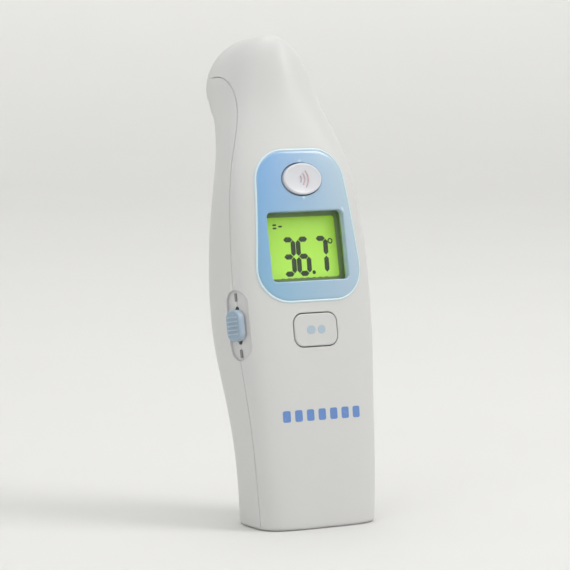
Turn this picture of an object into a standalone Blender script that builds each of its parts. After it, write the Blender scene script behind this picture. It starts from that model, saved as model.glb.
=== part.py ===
"""Upright non-contact thermometer: clamshell body, blue display bezel, two press buttons, a side slider and a
battery door that swings out. Metres, +Z up: the flat base rests on z = 0 and the display faces -Y."""

import math

import bmesh
import bpy
import numpy as np
from mathutils import Matrix, Vector

MM = 0.001

# Body sections from the base up to the sensor end, in millimetres. Each row gives the front point (y, z), the back
# point (y, z), half the width, how square the front is (a superellipse power) and the share of the depth, from the
# front, where the section is widest. The surface passes smoothly through all of them.
SECTIONS = (
    (-12.5, 0.0, 16.5, 0.0, 20.5, 4.0, 0.42),
    (-11.0, 18.0, 17.0, 18.0, 21.5, 4.0, 0.42),
    (-9.0, 36.0, 22.0, 36.0, 22.5, 4.0, 0.42),
    (-6.5, 54.0, 28.0, 53.0, 24.0, 4.0, 0.42),
    (-3.5, 72.0, 30.5, 69.0, 24.5, 4.0, 0.42),
    (0.0, 90.0, 30.5, 84.0, 24.0, 4.0, 0.42),
    (4.0, 107.0, 29.5, 97.0, 22.5, 3.7, 0.43),
    (8.5, 122.0, 29.8, 107.0, 20.0, 2.5, 0.48),
    (12.5, 135.0, 32.5, 114.0, 17.8, 1.8, 0.55),
    (16.5, 145.5, 36.2, 118.5, 16.3, 1.7, 0.57),
    (23.0, 150.0, 39.3, 121.3, 15.4, 1.7, 0.57),
    (32.5, 148.5, 40.3, 124.0, 14.3, 1.9, 0.55),
)
WIDEST, FRONT_POWER = 0.42, 4.0  # the same two numbers for the handle, where the side slider sits
BACK_POWER = 2.6  # superellipse power of the back
RING_POINTS, RINGS = 44, 24
BASE_EDGE = 1.2 * MM  # rounding where the base meets the sides
HEAD_EDGE = 4.0 * MM  # rounding round the sensor end

WALL = 2.2 * MM
GAP = 0.3 * MM  # clearance between neighbouring pieces
SEAM = 0.2  # share of the depth, from the front, where the two shells meet
FAR = 80 * MM  # how far a cutter reaches past the body

# The display frame: x across, y into the body, z up along the leaning front.
DISPLAY_HEIGHT = 92 * MM
DISPLAY_TILT = math.radians(12)
BEZEL_CORNER = 10 * MM
BEZEL_LOW, BEZEL_HIGH = -23.1 * MM, 23.5 * MM
BEZEL_LOW_HALF, BEZEL_HIGH_HALF = 18.0 * MM, 15.5 * MM
BEZEL_PROUD, BEZEL_DEEP = 0.5 * MM, 1.1 * MM
OPENING_W, OPENING_H, OPENING_CORNER, OPENING_AT = 27 * MM, 21.4 * MM, 1.6 * MM, -6.3 * MM
WINDOW_DEPTH, WINDOW_THICK = 3.0 * MM, 0.8 * MM
LCD_W, LCD_H, LCD_DEPTH, LCD_THICK = 30 * MM, 24 * MM, 4.7 * MM, 1.5 * MM
BACKLIGHT_DEPTH, BACKLIGHT_THICK = 6.5 * MM, 1.4 * MM
HOLDER_DEPTH, HOLDER_WALL = 4.5 * MM, 1.2 * MM
BOARD_DEPTH, BOARD_THICK = 9.0 * MM, 1.2 * MM
MEASURE_AT, MEASURE_W, MEASURE_H = 14.3 * MM, 13.4 * MM, 9.8 * MM
SET_AT, SET_W, SET_H, SET_CORNER, SET_PROUD = -32.1 * MM, 15 * MM, 10 * MM, 3 * MM, 0.2 * MM

# The side slider, on the seam at the left.
SLIDER_HEIGHT = 62.5 * MM
POCKET_W, POCKET_H, POCKET_DEEP = 8.4 * MM, 21.4 * MM, 1.2 * MM
KNOB_W, KNOB_H, KNOB_PROUD = 6.0 * MM, 9.6 * MM, 1.5 * MM
SLOT_W, SLOT_H = 3.2 * MM, 13.8 * MM
STEM_W, STEM_H = 2.2 * MM, 4.4 * MM

# The battery bay frame: x across, y to the back, z up along the cells.
BAY_ORIGIN, BAY_TILT = Vector((0, 1 * MM, 4.3 * MM)), math.radians(8)
CELL_R, CELL_BODY, CELL_NUB, CELL_NUB_R, CELL_X = 5.25 * MM, 43.3 * MM, 1.2 * MM, 1.9 * MM, 6.0 * MM
TRAY_LENGTH, TRAY_WALL = 48.4 * MM, 1.1 * MM
TRAY_SCREW_X, TRAY_SCREW_Z = 16.2 * MM, 31 * MM
DOOR_HALF, DOOR_LOW, DOOR_HIGH, DOOR_CORNER, DOOR_WALL = 19 * MM, 10 * MM, 68 * MM, 4 * MM, 1.8 * MM
TONGUE_X, TONGUE_W = 6 * MM, 4 * MM

# The sensor frame: x across, y out of the head end, z up.
SENSOR_TILT = math.atan2(7.0, 25.0)
SCREW_R, SCREW_HEAD_R = 1.0 * MM, 2.0 * MM
SHELL_SCREW_X, SHELL_SCREW_Z = 15.2 * MM, 10.5 * MM

for old in list(bpy.data.objects):
    bpy.data.objects.remove(old, do_unlink=True)
thermometer = bpy.data.collections.new("thermometer")
cutters = bpy.data.collections.new("cutters")
for group in (thermometer, cutters):
    bpy.context.scene.collection.children.link(group)
cutters.hide_render = True


def material(name, colour, roughness, metallic=0.0):
    made = bpy.data.materials.new(name)
    made.use_nodes = True
    shader = made.node_tree.nodes["Principled BSDF"]
    shader.inputs["Base Color"].default_value = (*colour, 1)
    shader.inputs["Roughness"].default_value = roughness
    shader.inputs["Metallic"].default_value = metallic
    made.diffuse_color = (*colour, 1)
    return made


WHITE = material("white_shell", (0.80, 0.82, 0.84), 0.38)
BLUE = material("blue_bezel", (0.30, 0.46, 0.72), 0.18)
CLEAR = material("clear_window", (0.75, 0.82, 0.80), 0.05)
GREEN = material("backlit_green", (0.36, 0.62, 0.40), 0.3)
LILAC = material("button_lilac", (0.74, 0.75, 0.85), 0.35)
DEEP_BLUE = material("slider_blue", (0.08, 0.20, 0.50), 0.35)
BOARD = material("circuit_board", (0.03, 0.16, 0.07), 0.5)
BLACK = material("black_plastic", (0.03, 0.03, 0.035), 0.45)
RUBBER = material("connector_rubber", (0.25, 0.25, 0.27), 0.8)
STEEL = material("steel", (0.62, 0.62, 0.63), 0.3, 1.0)
SENSOR_METAL = material("sensor_metal", (0.70, 0.68, 0.62), 0.25, 1.0)
DIFFUSER = material("light_diffuser", (0.85, 0.90, 0.85), 0.4)
CELL = material("cell_jacket", (0.10, 0.24, 0.50), 0.4)


def add_object(name, mesh, paint=None, matrix=None):
    """A visible part, or a cutter when it has no paint."""
    obj = bpy.data.objects.new(name, mesh)
    if matrix is not None:
        mesh.transform(matrix)
    if paint is None:
        cutters.objects.link(obj)
        obj.hide_render = True
        obj.display_type = "WIRE"
    else:
        thermometer.objects.link(obj)
        mesh.materials.append(paint)
        mesh.shade_smooth()
        mesh.set_sharp_from_angle(angle=math.radians(35))
    return obj


def boolean(obj, operation, *others):
    for other in others:
        step = obj.modifiers.new(f"{operation.lower()} {other.name}", "BOOLEAN")
        step.operation, step.solver, step.object = operation, "EXACT", other


def to_mesh(name, bm):
    bmesh.ops.recalc_face_normals(bm, faces=bm.faces)
    mesh = bpy.data.meshes.new(name)
    bm.to_mesh(mesh)
    bm.free()
    return mesh


def box(name, low, high, paint=None, frame=Matrix()):
    """A box between two corners given in a frame."""
    low, high = Vector(low), Vector(high)
    bm = bmesh.new()
    bmesh.ops.create_cube(bm, size=1)
    bmesh.ops.scale(bm, vec=high - low, verts=bm.verts)
    bmesh.ops.translate(bm, vec=(low + high) / 2, verts=bm.verts)
    return add_object(name, to_mesh(name, bm), paint, frame)


def rod(name, radius, start, end, x=0.0, z=0.0, paint=None, frame=Matrix(), sides=20):
    """A cylinder along the y axis of a frame, from y = start to y = end."""
    bm = bmesh.new()
    bmesh.ops.create_cone(
        bm, cap_ends=True, segments=sides, radius1=radius, radius2=radius, depth=end - start
    )
    turn = Matrix.Translation((x, (start + end) / 2, z)) @ Matrix.Rotation(math.pi / 2, 4, "X")
    return add_object(name, to_mesh(name, bm), paint, frame @ turn)


def plate(name, outline, start, end, paint=None, frame=Matrix()):
    """A flat outline in the x-z plane of a frame, thick from y = start to y = end."""
    curve = bpy.data.curves.new(name, "CURVE")
    curve.dimensions, curve.fill_mode, curve.extrude = "2D", "BOTH", (end - start) / 2
    line = curve.splines.new("POLY")
    line.points.add(len(outline) - 1)
    for point, (x, z) in zip(line.points, outline):
        point.co = (x, z, 0, 1)
    line.use_cyclic_u = True
    shape = bpy.data.objects.new(name, curve)
    bm = bmesh.new()
    bm.from_mesh(bpy.data.meshes.new_from_object(shape))
    bmesh.ops.remove_doubles(bm, verts=bm.verts, dist=1e-6)
    bpy.data.objects.remove(shape)
    turn = Matrix.Translation((0, (start + end) / 2, 0)) @ Matrix.Rotation(math.pi / 2, 4, "X")
    return add_object(name, to_mesh(name, bm), paint, frame @ turn)


def turned(name, profile, paint=None, frame=Matrix(), steps=28):
    """A closed (radius, height) profile, outer side first from the top down, turned about the frame's y axis."""
    mesh = bpy.data.meshes.new(name)
    count = len(profile)
    mesh.from_pydata([(r, 0, h) for r, h in profile], [(i, (i + 1) % count) for i in range(count)], [])
    obj = add_object(name, mesh, paint)
    screw = obj.modifiers.new("turn", "SCREW")
    screw.steps = screw.render_steps = steps
    screw.use_merge_vertices, screw.merge_threshold = True, 0.00001
    obj.matrix_world = frame @ Matrix.Rotation(-math.pi / 2, 4, "X")
    return obj


def arc(x, z, radius, start, end, steps=6):
    """Points on an arc between two angles in degrees."""
    angles = np.radians(np.linspace(start, end, steps + 1))
    return [(x + radius * math.cos(a), z + radius * math.sin(a)) for a in angles]


def rounded_box(width, height, corner, z=0.0, grow=0.0, x=0.0):
    w, h, r = width / 2 + grow, height / 2 + grow, corner + grow
    return (
        arc(x + w - r, z - h + r, r, -90, 0)
        + arc(x + w - r, z + h - r, r, 0, 90)
        + arc(x - w + r, z + h - r, r, 90, 180)
        + arc(x - w + r, z - h + r, r, 180, 270)
    )


def oval(width, height, z=0.0, grow=0.0, steps=32):
    angles = np.linspace(0, 2 * math.pi, steps, endpoint=False)
    return [
        ((width / 2 + grow) * math.cos(a), z + (height / 2 + grow) * math.sin(a)) for a in angles
    ]


def bezel_outline(grow=0.0):
    """A rounded shield, narrower at the top: four equal corner arcs joined by straight sides."""
    r = BEZEL_CORNER
    low_x, high_x = BEZEL_LOW_HALF - r, BEZEL_HIGH_HALF - r
    low_z, high_z = BEZEL_LOW + r, BEZEL_HIGH - r
    lean = math.degrees(math.atan2(low_x - high_x, high_z - low_z))
    right = arc(low_x, low_z, r + grow, -90, lean) + arc(high_x, high_z, r + grow, lean, 90)
    return right + [(-x, z) for x, z in reversed(right)]


def natural_spline(points, places):
    """A natural cubic spline through evenly spaced points, read at places between 0 and 1."""
    points = np.asarray(points, float)
    count = len(points)
    system = np.eye(count)
    bend = np.zeros_like(points)
    for i in range(1, count - 1):
        system[i, i - 1 : i + 2] = 1, 4, 1
        bend[i] = 6 * (points[i + 1] - 2 * points[i] + points[i - 1])
    moment = np.linalg.solve(system, bend)
    along = np.clip(np.asarray(places, float), 0, 1) * (count - 1)
    i = np.clip(along.astype(int), 0, count - 2)
    t = (along - i)[:, None]
    curve = points[i] * (1 - t) + points[i + 1] * t
    return curve + ((1 - t) ** 3 - (1 - t)) * moment[i] / 6 + (t**3 - t) * moment[i + 1] / 6


def sections(places):
    rows = natural_spline(SECTIONS, places)
    rows[:, :5] *= MM
    return rows


def place_at_height(height):
    """How far up the body, from 0 to 1, the front line reaches a height."""
    low, high = 0.0, 0.8
    for _ in range(40):
        middle = (low + high) / 2
        low, high = (middle, high) if sections([middle])[0][1] < height else (low, middle)
    return low


def ring(section, inset, push=0.0):
    """One cross-section as points, inset all round and pushed along its own normal."""
    front, back = np.array(section[0:2]), np.array(section[2:4])
    across = (back - front) / np.linalg.norm(back - front)
    normal = np.array([-across[1], across[0]])
    front, back = front + across * inset, back - across * inset
    turn = np.linspace(0, 2 * math.pi, RING_POINTS, endpoint=False)
    cosine, sine = np.cos(turn), np.sin(turn)
    front_power, widest = section[5:7]
    power = np.where(sine < 0, front_power, BACK_POWER)
    x = (section[4] - inset) * np.sign(cosine) * np.abs(cosine) ** (2 / power)
    depth = np.sign(sine) * np.abs(sine) ** (2 / power)
    share = np.where(depth < 0, widest * (1 + depth), widest + (1 - widest) * depth)
    yz = front + (back - front) * share[:, None] + normal * push
    return [(float(a), float(b), float(c)) for a, (b, c) in zip(x, yz)]


def body(name, inset=0.0, paint=None):
    """The closed body shape, inset by a wall or grown when the inset is negative."""
    base_edge = max(BASE_EDGE - inset, 0.0)
    quarter = np.radians(np.linspace(0, 90, 4))
    rings = []
    for a in quarter[:-1] if base_edge else []:
        height = inset + base_edge * (1 - math.cos(a))
        section = sections([place_at_height(max(height, 0.0))])[0]
        section[1] = section[3] = height
        rings.append(ring(section, inset + base_edge * (1 - math.sin(a))))
    start = place_at_height(inset + base_edge)
    rings += [ring(section, inset) for section in sections(np.linspace(start, 1, RINGS))]
    end = sections([1.0])[0]
    head_edge = HEAD_EDGE - inset
    for a in quarter[1:]:
        rings.append(ring(end, inset + head_edge * (1 - math.cos(a)), head_edge * math.sin(a)))
    bm = bmesh.new()
    loops = [[bm.verts.new(point) for point in points] for points in rings]
    for lower, upper in zip(loops, loops[1:]):
        for i in range(RING_POINTS):
            j = (i + 1) % RING_POINTS
            bm.faces.new((lower[i], lower[j], upper[j], upper[i]))
    bm.faces.new(loops[0])
    bm.faces.new(loops[-1])
    return add_object(name, to_mesh(name, bm), paint)


def seam_line(shift):
    """The line where the shells meet, in (y, z), moved towards the back by a shift."""
    places = np.linspace(0, 1, 26)
    blend = np.clip((places - 0.6) / 0.4, 0, 1)
    share = (SEAM + (0.5 - SEAM) * blend**2 * (3 - 2 * blend))[:, None]
    rows = sections(places)
    line = rows[:, 0:2] * (1 - share) + rows[:, 2:4] * share
    heading = np.gradient(line, axis=0)
    heading /= np.linalg.norm(heading, axis=1)[:, None]
    line = line + np.column_stack((heading[:, 1], -heading[:, 0])) * shift
    first = line[0] - (0, FAR / 4)
    last = line[-1] + heading[-1] * FAR / 3
    return [tuple(p) for p in (first, *line, last)]


def side_prism(name, outline):
    """A cutter with a (y, z) outline, wide enough to pass right through the body."""
    quarter_turn = Matrix.Rotation(math.pi / 2, 4, "Z")
    return plate(name, outline, -FAR, FAR, frame=quarter_turn)


display_y = sections([place_at_height(DISPLAY_HEIGHT)])[0][0]
DISPLAY = Matrix.Translation((0, display_y, DISPLAY_HEIGHT)) @ Matrix.Rotation(-DISPLAY_TILT, 4, "X")
BAY = Matrix.Translation(BAY_ORIGIN) @ Matrix.Rotation(-BAY_TILT, 4, "X")
end_section = sections([1.0])[0]
END_OUT = Vector((0, math.cos(SENSOR_TILT), math.sin(SENSOR_TILT)))
end_middle = Vector((0, (end_section[0] + end_section[2]) / 2, (end_section[1] + end_section[3]) / 2))
SENSOR = Matrix.Translation(end_middle + END_OUT * HEAD_EDGE) @ Matrix.Rotation(SENSOR_TILT, 4, "X")


def side_frame():
    """The frame of the side slider: x out of the body, z up along the seam."""
    place = place_at_height(SLIDER_HEIGHT)
    above, here = sections([place + 0.01])[0], sections([place])[0]
    points = []
    for row in (here, above):
        yz = row[0:2] * (1 - SEAM) + row[2:4] * SEAM
        depth = (WIDEST - SEAM) / WIDEST
        x = -row[4] * (1 - depth**FRONT_POWER) ** (1 / FRONT_POWER)
        points.append(Vector((x, *yz)))
    up = (points[1] - points[0]).normalized()
    row = here
    slope = (depth ** (FRONT_POWER - 1)) / ((1 - depth**FRONT_POWER) ** (1 - 1 / FRONT_POWER))
    span = float(np.linalg.norm(row[2:4] - row[0:2])) * WIDEST
    out = Vector((-1, -slope * row[4] / span, 0))
    out = (out - up * out.dot(up)).normalized()
    turn = Matrix((out, up.cross(out), up)).transposed().to_4x4()
    return Matrix.Translation(points[0]) @ turn


SIDE = side_frame()

# Shapes that cut the shells.
inner = body("inner_space", WALL)
behind_seam = side_prism("behind_seam", seam_line(0.0) + [(FAR, FAR * 1.85), (FAR, -FAR / 4)])
ahead_of_seam = side_prism(
    "ahead_of_seam",
    seam_line(GAP) + [(FAR, FAR * 1.85), (FAR, FAR * 2.4), (-FAR, FAR * 2.4), (-FAR, -FAR / 4)],
)
bezel_seat = plate("bezel_seat", bezel_outline(GAP), -10 * MM, 8 * MM, frame=DISPLAY)
seat_floor = body("seat_floor", BEZEL_DEEP + GAP)
boolean(bezel_seat, "DIFFERENCE", seat_floor)
display_hole = plate(
    "display_hole",
    rounded_box(OPENING_W, OPENING_H, OPENING_CORNER, OPENING_AT, GAP),
    -9 * MM,
    8 * MM,
    frame=DISPLAY,
)
measure_hole = plate(
    "measure_hole", oval(MEASURE_W, MEASURE_H, MEASURE_AT, GAP), -8 * MM, 7 * MM, frame=DISPLAY
)
set_hole = plate(
    "set_hole", rounded_box(SET_W, SET_H, SET_CORNER, SET_AT, GAP), -7 * MM, 6 * MM, frame=DISPLAY
)
pocket = plate(
    "slider_pocket",
    rounded_box(POCKET_W, POCKET_H, POCKET_W / 2 - 0.1 * MM),
    -POCKET_DEEP,
    6 * MM,
    frame=SIDE @ Matrix.Rotation(-math.pi / 2, 4, "Z"),
)
slot = plate(
    "slider_slot",
    rounded_box(SLOT_W, SLOT_H, 1.3 * MM),
    -6 * MM,
    7 * MM,
    frame=SIDE @ Matrix.Rotation(-math.pi / 2, 4, "Z"),
)
sensor_hole = rod("sensor_hole", 6.5 * MM, -8 * MM, 3 * MM, frame=SENSOR, sides=36)

# Front shell, with bosses for the screws.
front_shell = body("front_shell", paint=WHITE)
boolean(front_shell, "DIFFERENCE", inner, behind_seam)
boss_limit = body("boss_limit", WALL / 2)
front_bosses, pilot_holes = [], []
for side, x in (("left", -1), ("right", 1)):
    front_bosses += [
        rod(f"upper_boss_{side}", 2.6 * MM, 2.6 * MM, 14 * MM, x * SHELL_SCREW_X, SHELL_SCREW_Z, frame=DISPLAY),
        rod(f"lower_boss_{side}", 2.4 * MM, -20 * MM, -1.9 * MM, x * TRAY_SCREW_X, TRAY_SCREW_Z, frame=BAY),
    ]
    pilot_holes += [
        rod(f"upper_pilot_{side}", 1.3 * MM, 7 * MM, 20 * MM, x * SHELL_SCREW_X, SHELL_SCREW_Z, frame=DISPLAY),
        rod(f"lower_pilot_{side}", 1.3 * MM, -9.5 * MM, 5 * MM, x * TRAY_SCREW_X, TRAY_SCREW_Z, frame=BAY),
    ]
for boss in front_bosses:
    boolean(boss, "INTERSECT", boss_limit)
boolean(front_shell, "UNION", *front_bosses)
boolean(
    front_shell, "DIFFERENCE", *pilot_holes, bezel_seat, display_hole, measure_hole, set_hole, pocket, slot, sensor_hole
)

# Rear shell, with the door opening, the thumb scoop above it and two screw wells.
door_cut = plate(
    "door_cut",
    rounded_box(2 * DOOR_HALF, DOOR_HIGH - DOOR_LOW, DOOR_CORNER, (DOOR_HIGH + DOOR_LOW) / 2, GAP / 2),
    5 * MM,
    FAR,
)
thumb_scoop = turned(
    "thumb_scoop",
    [(0, 9 * MM), (4.2 * MM, 8 * MM), (5 * MM, 0), (4.2 * MM, -8 * MM), (0, -9 * MM)],
    frame=Matrix.Translation((0, 34 * MM, 70.5 * MM)) @ Matrix.Rotation(math.pi / 2, 4, "Z"),
    steps=20,
)
rear_shell = body("rear_shell", paint=WHITE)
boolean(rear_shell, "DIFFERENCE", inner, ahead_of_seam)
screw_wells = []
for side, x in (("left", -1), ("right", 1)):
    boss = rod(f"rear_boss_{side}", 3.2 * MM, 14.4 * MM, 40 * MM, x * SHELL_SCREW_X, SHELL_SCREW_Z, frame=DISPLAY)
    boolean(boss, "INTERSECT", boss_limit)
    boolean(rear_shell, "UNION", boss)
    screw_wells += [
        rod(f"screw_well_{side}", 2.3 * MM, 17 * MM, 45 * MM, x * SHELL_SCREW_X, SHELL_SCREW_Z, frame=DISPLAY),
        rod(f"screw_way_{side}", 1.3 * MM, 12 * MM, 20 * MM, x * SHELL_SCREW_X, SHELL_SCREW_Z, frame=DISPLAY),
    ]
boolean(rear_shell, "DIFFERENCE", *screw_wells, door_cut, thumb_scoop, pocket, slot, sensor_hole)

# Battery door: a skin, two ribs that hold the cells and two tongues behind the lower lip of the shell.
door_shape = plate(
    "door_shape",
    rounded_box(2 * DOOR_HALF, DOOR_HIGH - DOOR_LOW, DOOR_CORNER, (DOOR_HIGH + DOOR_LOW) / 2, -GAP / 2),
    5 * MM + GAP,
    FAR,
)
door_inside = body("door_inside", DOOR_WALL)
door_middle = body("door_middle", 1.0 * MM)
battery_door = body("battery_door", paint=WHITE)
boolean(battery_door, "DIFFERENCE", door_inside)
boolean(battery_door, "INTERSECT", door_shape)
for side, x in (("left", -1), ("right", 1)):
    rib = box(
        f"door_rib_{side}",
        (x * CELL_X - 0.7 * MM, CELL_R + 0.6 * MM, 14 * MM),
        (x * CELL_X + 0.7 * MM, 30 * MM, 44 * MM),
        frame=BAY,
    )
    boolean(rib, "INTERSECT", door_middle)
    tongue = box(
        f"door_tongue_{side}",
        (x * TONGUE_X - TONGUE_W / 2, 11.9 * MM, DOOR_LOW - 3 * MM),
        (x * TONGUE_X + TONGUE_W / 2, 12.8 * MM, DOOR_LOW + 3.4 * MM),
    )
    foot = box(
        f"door_tongue_foot_{side}",
        (x * TONGUE_X - TONGUE_W / 2, 12.4 * MM, DOOR_LOW + 1.6 * MM),
        (x * TONGUE_X + TONGUE_W / 2, 15.3 * MM, DOOR_LOW + 3.4 * MM),
    )
    boolean(battery_door, "UNION", rib, tongue, foot)

# Bezel, window and display stack.
display_bezel = plate("display_bezel", bezel_outline(), -9 * MM, 9 * MM, BLUE, DISPLAY)
boolean(display_bezel, "INTERSECT", body("bezel_outside", -BEZEL_PROUD))
boolean(display_bezel, "DIFFERENCE", body("bezel_inside", BEZEL_DEEP))
bezel_window = plate(
    "bezel_window",
    rounded_box(OPENING_W, OPENING_H, OPENING_CORNER, OPENING_AT),
    -10 * MM,
    10 * MM,
    frame=DISPLAY,
)
boolean(display_bezel, "DIFFERENCE", bezel_window, measure_hole)


def display_box(name, width, height, start, thick, paint, z=OPENING_AT):
    return box(
        name,
        (-width / 2, start, z - height / 2),
        (width / 2, start + thick, z + height / 2),
        paint,
        DISPLAY,
    )


display_box("display_window", 28.6 * MM, 23 * MM, WINDOW_DEPTH, WINDOW_THICK, CLEAR)
display_box("lcd_panel", LCD_W, LCD_H, LCD_DEPTH, LCD_THICK, GREEN)
display_box("backlight_panel", LCD_W, LCD_H - 5 * MM, BACKLIGHT_DEPTH, BACKLIGHT_THICK, DIFFUSER, OPENING_AT + 2.5 * MM)
display_box("zebra_strip", 24 * MM, 2 * MM, BACKLIGHT_DEPTH, 2.2 * MM, RUBBER, OPENING_AT - 10.5 * MM)
outer_w, outer_h = LCD_W + 2 * (GAP + HOLDER_WALL), LCD_H + 2 * (GAP + HOLDER_WALL)
lcd_holder = display_box("lcd_holder", outer_w, outer_h, HOLDER_DEPTH, BOARD_DEPTH - GAP - HOLDER_DEPTH, BLACK)
boolean(
    lcd_holder,
    "DIFFERENCE",
    display_box("holder_inside", LCD_W + 2 * GAP, LCD_H + 2 * GAP, 2 * MM, 9 * MM, None),
)

# Main board and what is soldered to it.
board_outline = [
    (-17 * MM, -35.5 * MM),
    (17 * MM, -35.5 * MM),
    (17 * MM, 5 * MM),
    (12 * MM, 5 * MM),
    (12 * MM, 24 * MM),
    (-12 * MM, 24 * MM),
    (-12 * MM, 5 * MM),
    (-17 * MM, 5 * MM),
]
plate("main_board", board_outline, BOARD_DEPTH, BOARD_DEPTH + BOARD_THICK, BOARD, DISPLAY)
board_back = BOARD_DEPTH + BOARD_THICK + GAP
display_box("processor_chip", 10 * MM, 10 * MM, board_back, 1.5 * MM, BLACK, -6 * MM)
rod("buzzer", 6 * MM, board_back, board_back + 3.5 * MM, 0, 14 * MM, BLACK, DISPLAY, 28)


def tact_switch(name, z, top):
    """A small push switch on the front of the board: a square body with a round plunger."""
    switch = box(
        name,
        (-3 * MM, top + 1 * MM, z - 3 * MM),
        (3 * MM, BOARD_DEPTH - GAP, z + 3 * MM),
        BLACK,
        DISPLAY,
    )
    boolean(switch, "UNION", rod(f"{name}_plunger", 1.7 * MM, top, top + 2 * MM, 0, z, frame=DISPLAY))


tact_switch("measure_switch", MEASURE_AT, 6.0 * MM)
tact_switch("set_switch", SET_AT, 6.2 * MM)


def press_button(name, outline, flange, face, flange_at, stem_end, z, paint):
    """A cap that passes through the shell, with a wider flange behind the wall and a stem to its switch."""
    cap = plate(name, outline, face, flange_at + 0.5 * MM, paint, DISPLAY)
    behind = plate(f"{name}_flange", flange, flange_at, flange_at + 0.8 * MM, frame=DISPLAY)
    stem = rod(f"{name}_stem", 2 * MM, flange_at + 0.4 * MM, stem_end, 0, z, frame=DISPLAY)
    boolean(cap, "UNION", behind, stem)
    return cap


measure_button = press_button(
    "measure_button",
    oval(MEASURE_W, MEASURE_H, MEASURE_AT, 0),
    oval(MEASURE_W, MEASURE_H, MEASURE_AT, 1.2 * MM),
    -1.1 * MM,
    3.4 * MM,
    5.2 * MM,
    MEASURE_AT,
    LILAC,
)
set_button = press_button(
    "set_button",
    rounded_box(SET_W, SET_H, SET_CORNER, SET_AT),
    rounded_box(SET_W, SET_H, SET_CORNER, SET_AT, 1 * MM),
    -3 * MM,
    3.7 * MM,
    5.4 * MM,
    SET_AT,
    WHITE,
)
boolean(set_button, "INTERSECT", body("set_button_face", -SET_PROUD))

# Side slider and its switch.
turned_side = SIDE @ Matrix.Rotation(-math.pi / 2, 4, "Z")
mode_slider = plate(
    "mode_slider", rounded_box(KNOB_W, KNOB_H, KNOB_W / 2 - 0.4 * MM), -0.9 * MM, KNOB_PROUD, DEEP_BLUE, turned_side
)
boolean(
    mode_slider,
    "UNION",
    plate("slider_stem", rounded_box(STEM_W, STEM_H, 0.8 * MM), -5.1 * MM, 0, frame=turned_side),
)
box(
    "slide_switch",
    (-18.2 * MM, 5.8 * MM, -35.5 * MM),
    (-13.4 * MM, BOARD_DEPTH - GAP, -23.5 * MM),
    BLACK,
    DISPLAY,
)

# Battery bay.
tray_half, tray_front, tray_back = CELL_X + CELL_R + GAP, -(CELL_R + GAP), 1.5 * MM
battery_tray = box(
    "battery_tray",
    (-tray_half - TRAY_WALL, tray_front - TRAY_WALL, -TRAY_WALL),
    (tray_half + TRAY_WALL, tray_back, TRAY_LENGTH + TRAY_WALL),
    BLACK,
    BAY,
)
# Both cell spaces are one outline, with the wall between them standing clear of the bridge contact.
between, bridge_space = 0.4 * MM, 1.2 * MM
tray_space = [
    (-tray_half, 0),
    (tray_half, 0),
    (tray_half, TRAY_LENGTH),
    (between, TRAY_LENGTH),
    (between, bridge_space),
    (-between, bridge_space),
    (-between, TRAY_LENGTH),
    (-tray_half, TRAY_LENGTH),
]
boolean(battery_tray, "DIFFERENCE", plate("tray_space", tray_space, tray_front, FAR, frame=BAY))
for side, x in (("left", -1), ("right", 1)):
    ends = sorted((x * tray_half, x * (TRAY_SCREW_X + 2.6 * MM)))
    ear = box(
        f"tray_ear_{side}",
        (ends[0], -1.6 * MM, TRAY_SCREW_Z - 3.2 * MM),
        (ends[1], -0.1 * MM, TRAY_SCREW_Z + 3.2 * MM),
        frame=BAY,
    )
    hole = rod(f"ear_hole_{side}", 1.3 * MM, -5 * MM, 5 * MM, x * TRAY_SCREW_X, TRAY_SCREW_Z, frame=BAY)
    boolean(battery_tray, "UNION", ear)
    boolean(battery_tray, "DIFFERENCE", hole)


def along_bay(name, profile, x, paint=None, steps=24):
    """A solid turned about a line along the battery bay, from a half profile (radius, height)."""
    frame = BAY @ Matrix.Translation((x, 0, 0)) @ Matrix.Rotation(math.pi / 2, 4, "X")
    return turned(name, profile, paint, frame, steps)


left_foot, right_foot = 2.8 * MM, 1.1 * MM
left_top, right_top = left_foot + CELL_BODY, right_foot + CELL_NUB + CELL_BODY
along_bay(
    "battery_cell_left",
    [
        (0, left_top + CELL_NUB),
        (CELL_NUB_R, left_top + CELL_NUB),
        (CELL_NUB_R, left_top),
        (CELL_R, left_top),
        (CELL_R, left_foot),
        (0, left_foot),
    ],
    -CELL_X,
    CELL,
)
along_bay(
    "battery_cell_right",
    [
        (0, right_top),
        (CELL_R, right_top),
        (CELL_R, right_foot + CELL_NUB),
        (CELL_NUB_R, right_foot + CELL_NUB),
        (CELL_NUB_R, right_foot),
        (0, right_foot),
    ],
    CELL_X,
    CELL,
)


def contact(name, left, right, z, spring_x=None, up=1):
    """A flat contact plate across the bay end, with a cone-shaped coil where a cell's flat end presses."""
    leaf = box(name, (left, tray_front + GAP, z), (right, 1.2 * MM, z + 0.4 * MM), STEEL, BAY)
    if spring_x is None:
        return
    coil = bpy.data.curves.new(f"{name}_coil", "CURVE")
    coil.dimensions, coil.bevel_depth, coil.bevel_resolution, coil.use_fill_caps = "3D", 0.25 * MM, 1, True
    line = coil.splines.new("POLY")
    turns, steps, height = 2.5, 36, 1.7 * MM
    line.points.add(steps)
    for i, point in enumerate(line.points):
        share = i / steps
        angle, radius = share * turns * 2 * math.pi, (3.2 - 1.4 * share) * MM
        rise = z + 0.2 * MM + up * (0.1 * MM + height * share)
        point.co = (spring_x + radius * math.cos(angle), radius * math.sin(angle) - 1 * MM, rise, 1)
    shape = bpy.data.objects.new(f"{name}_coil", coil)
    bm = bmesh.new()
    bm.from_mesh(bpy.data.meshes.new_from_object(shape))
    bmesh.ops.remove_doubles(bm, verts=bm.verts, dist=1e-6)
    bpy.data.objects.remove(shape)
    boolean(leaf, "UNION", add_object(f"{name}_spring", to_mesh(f"{name}_spring", bm), None, BAY))


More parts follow.
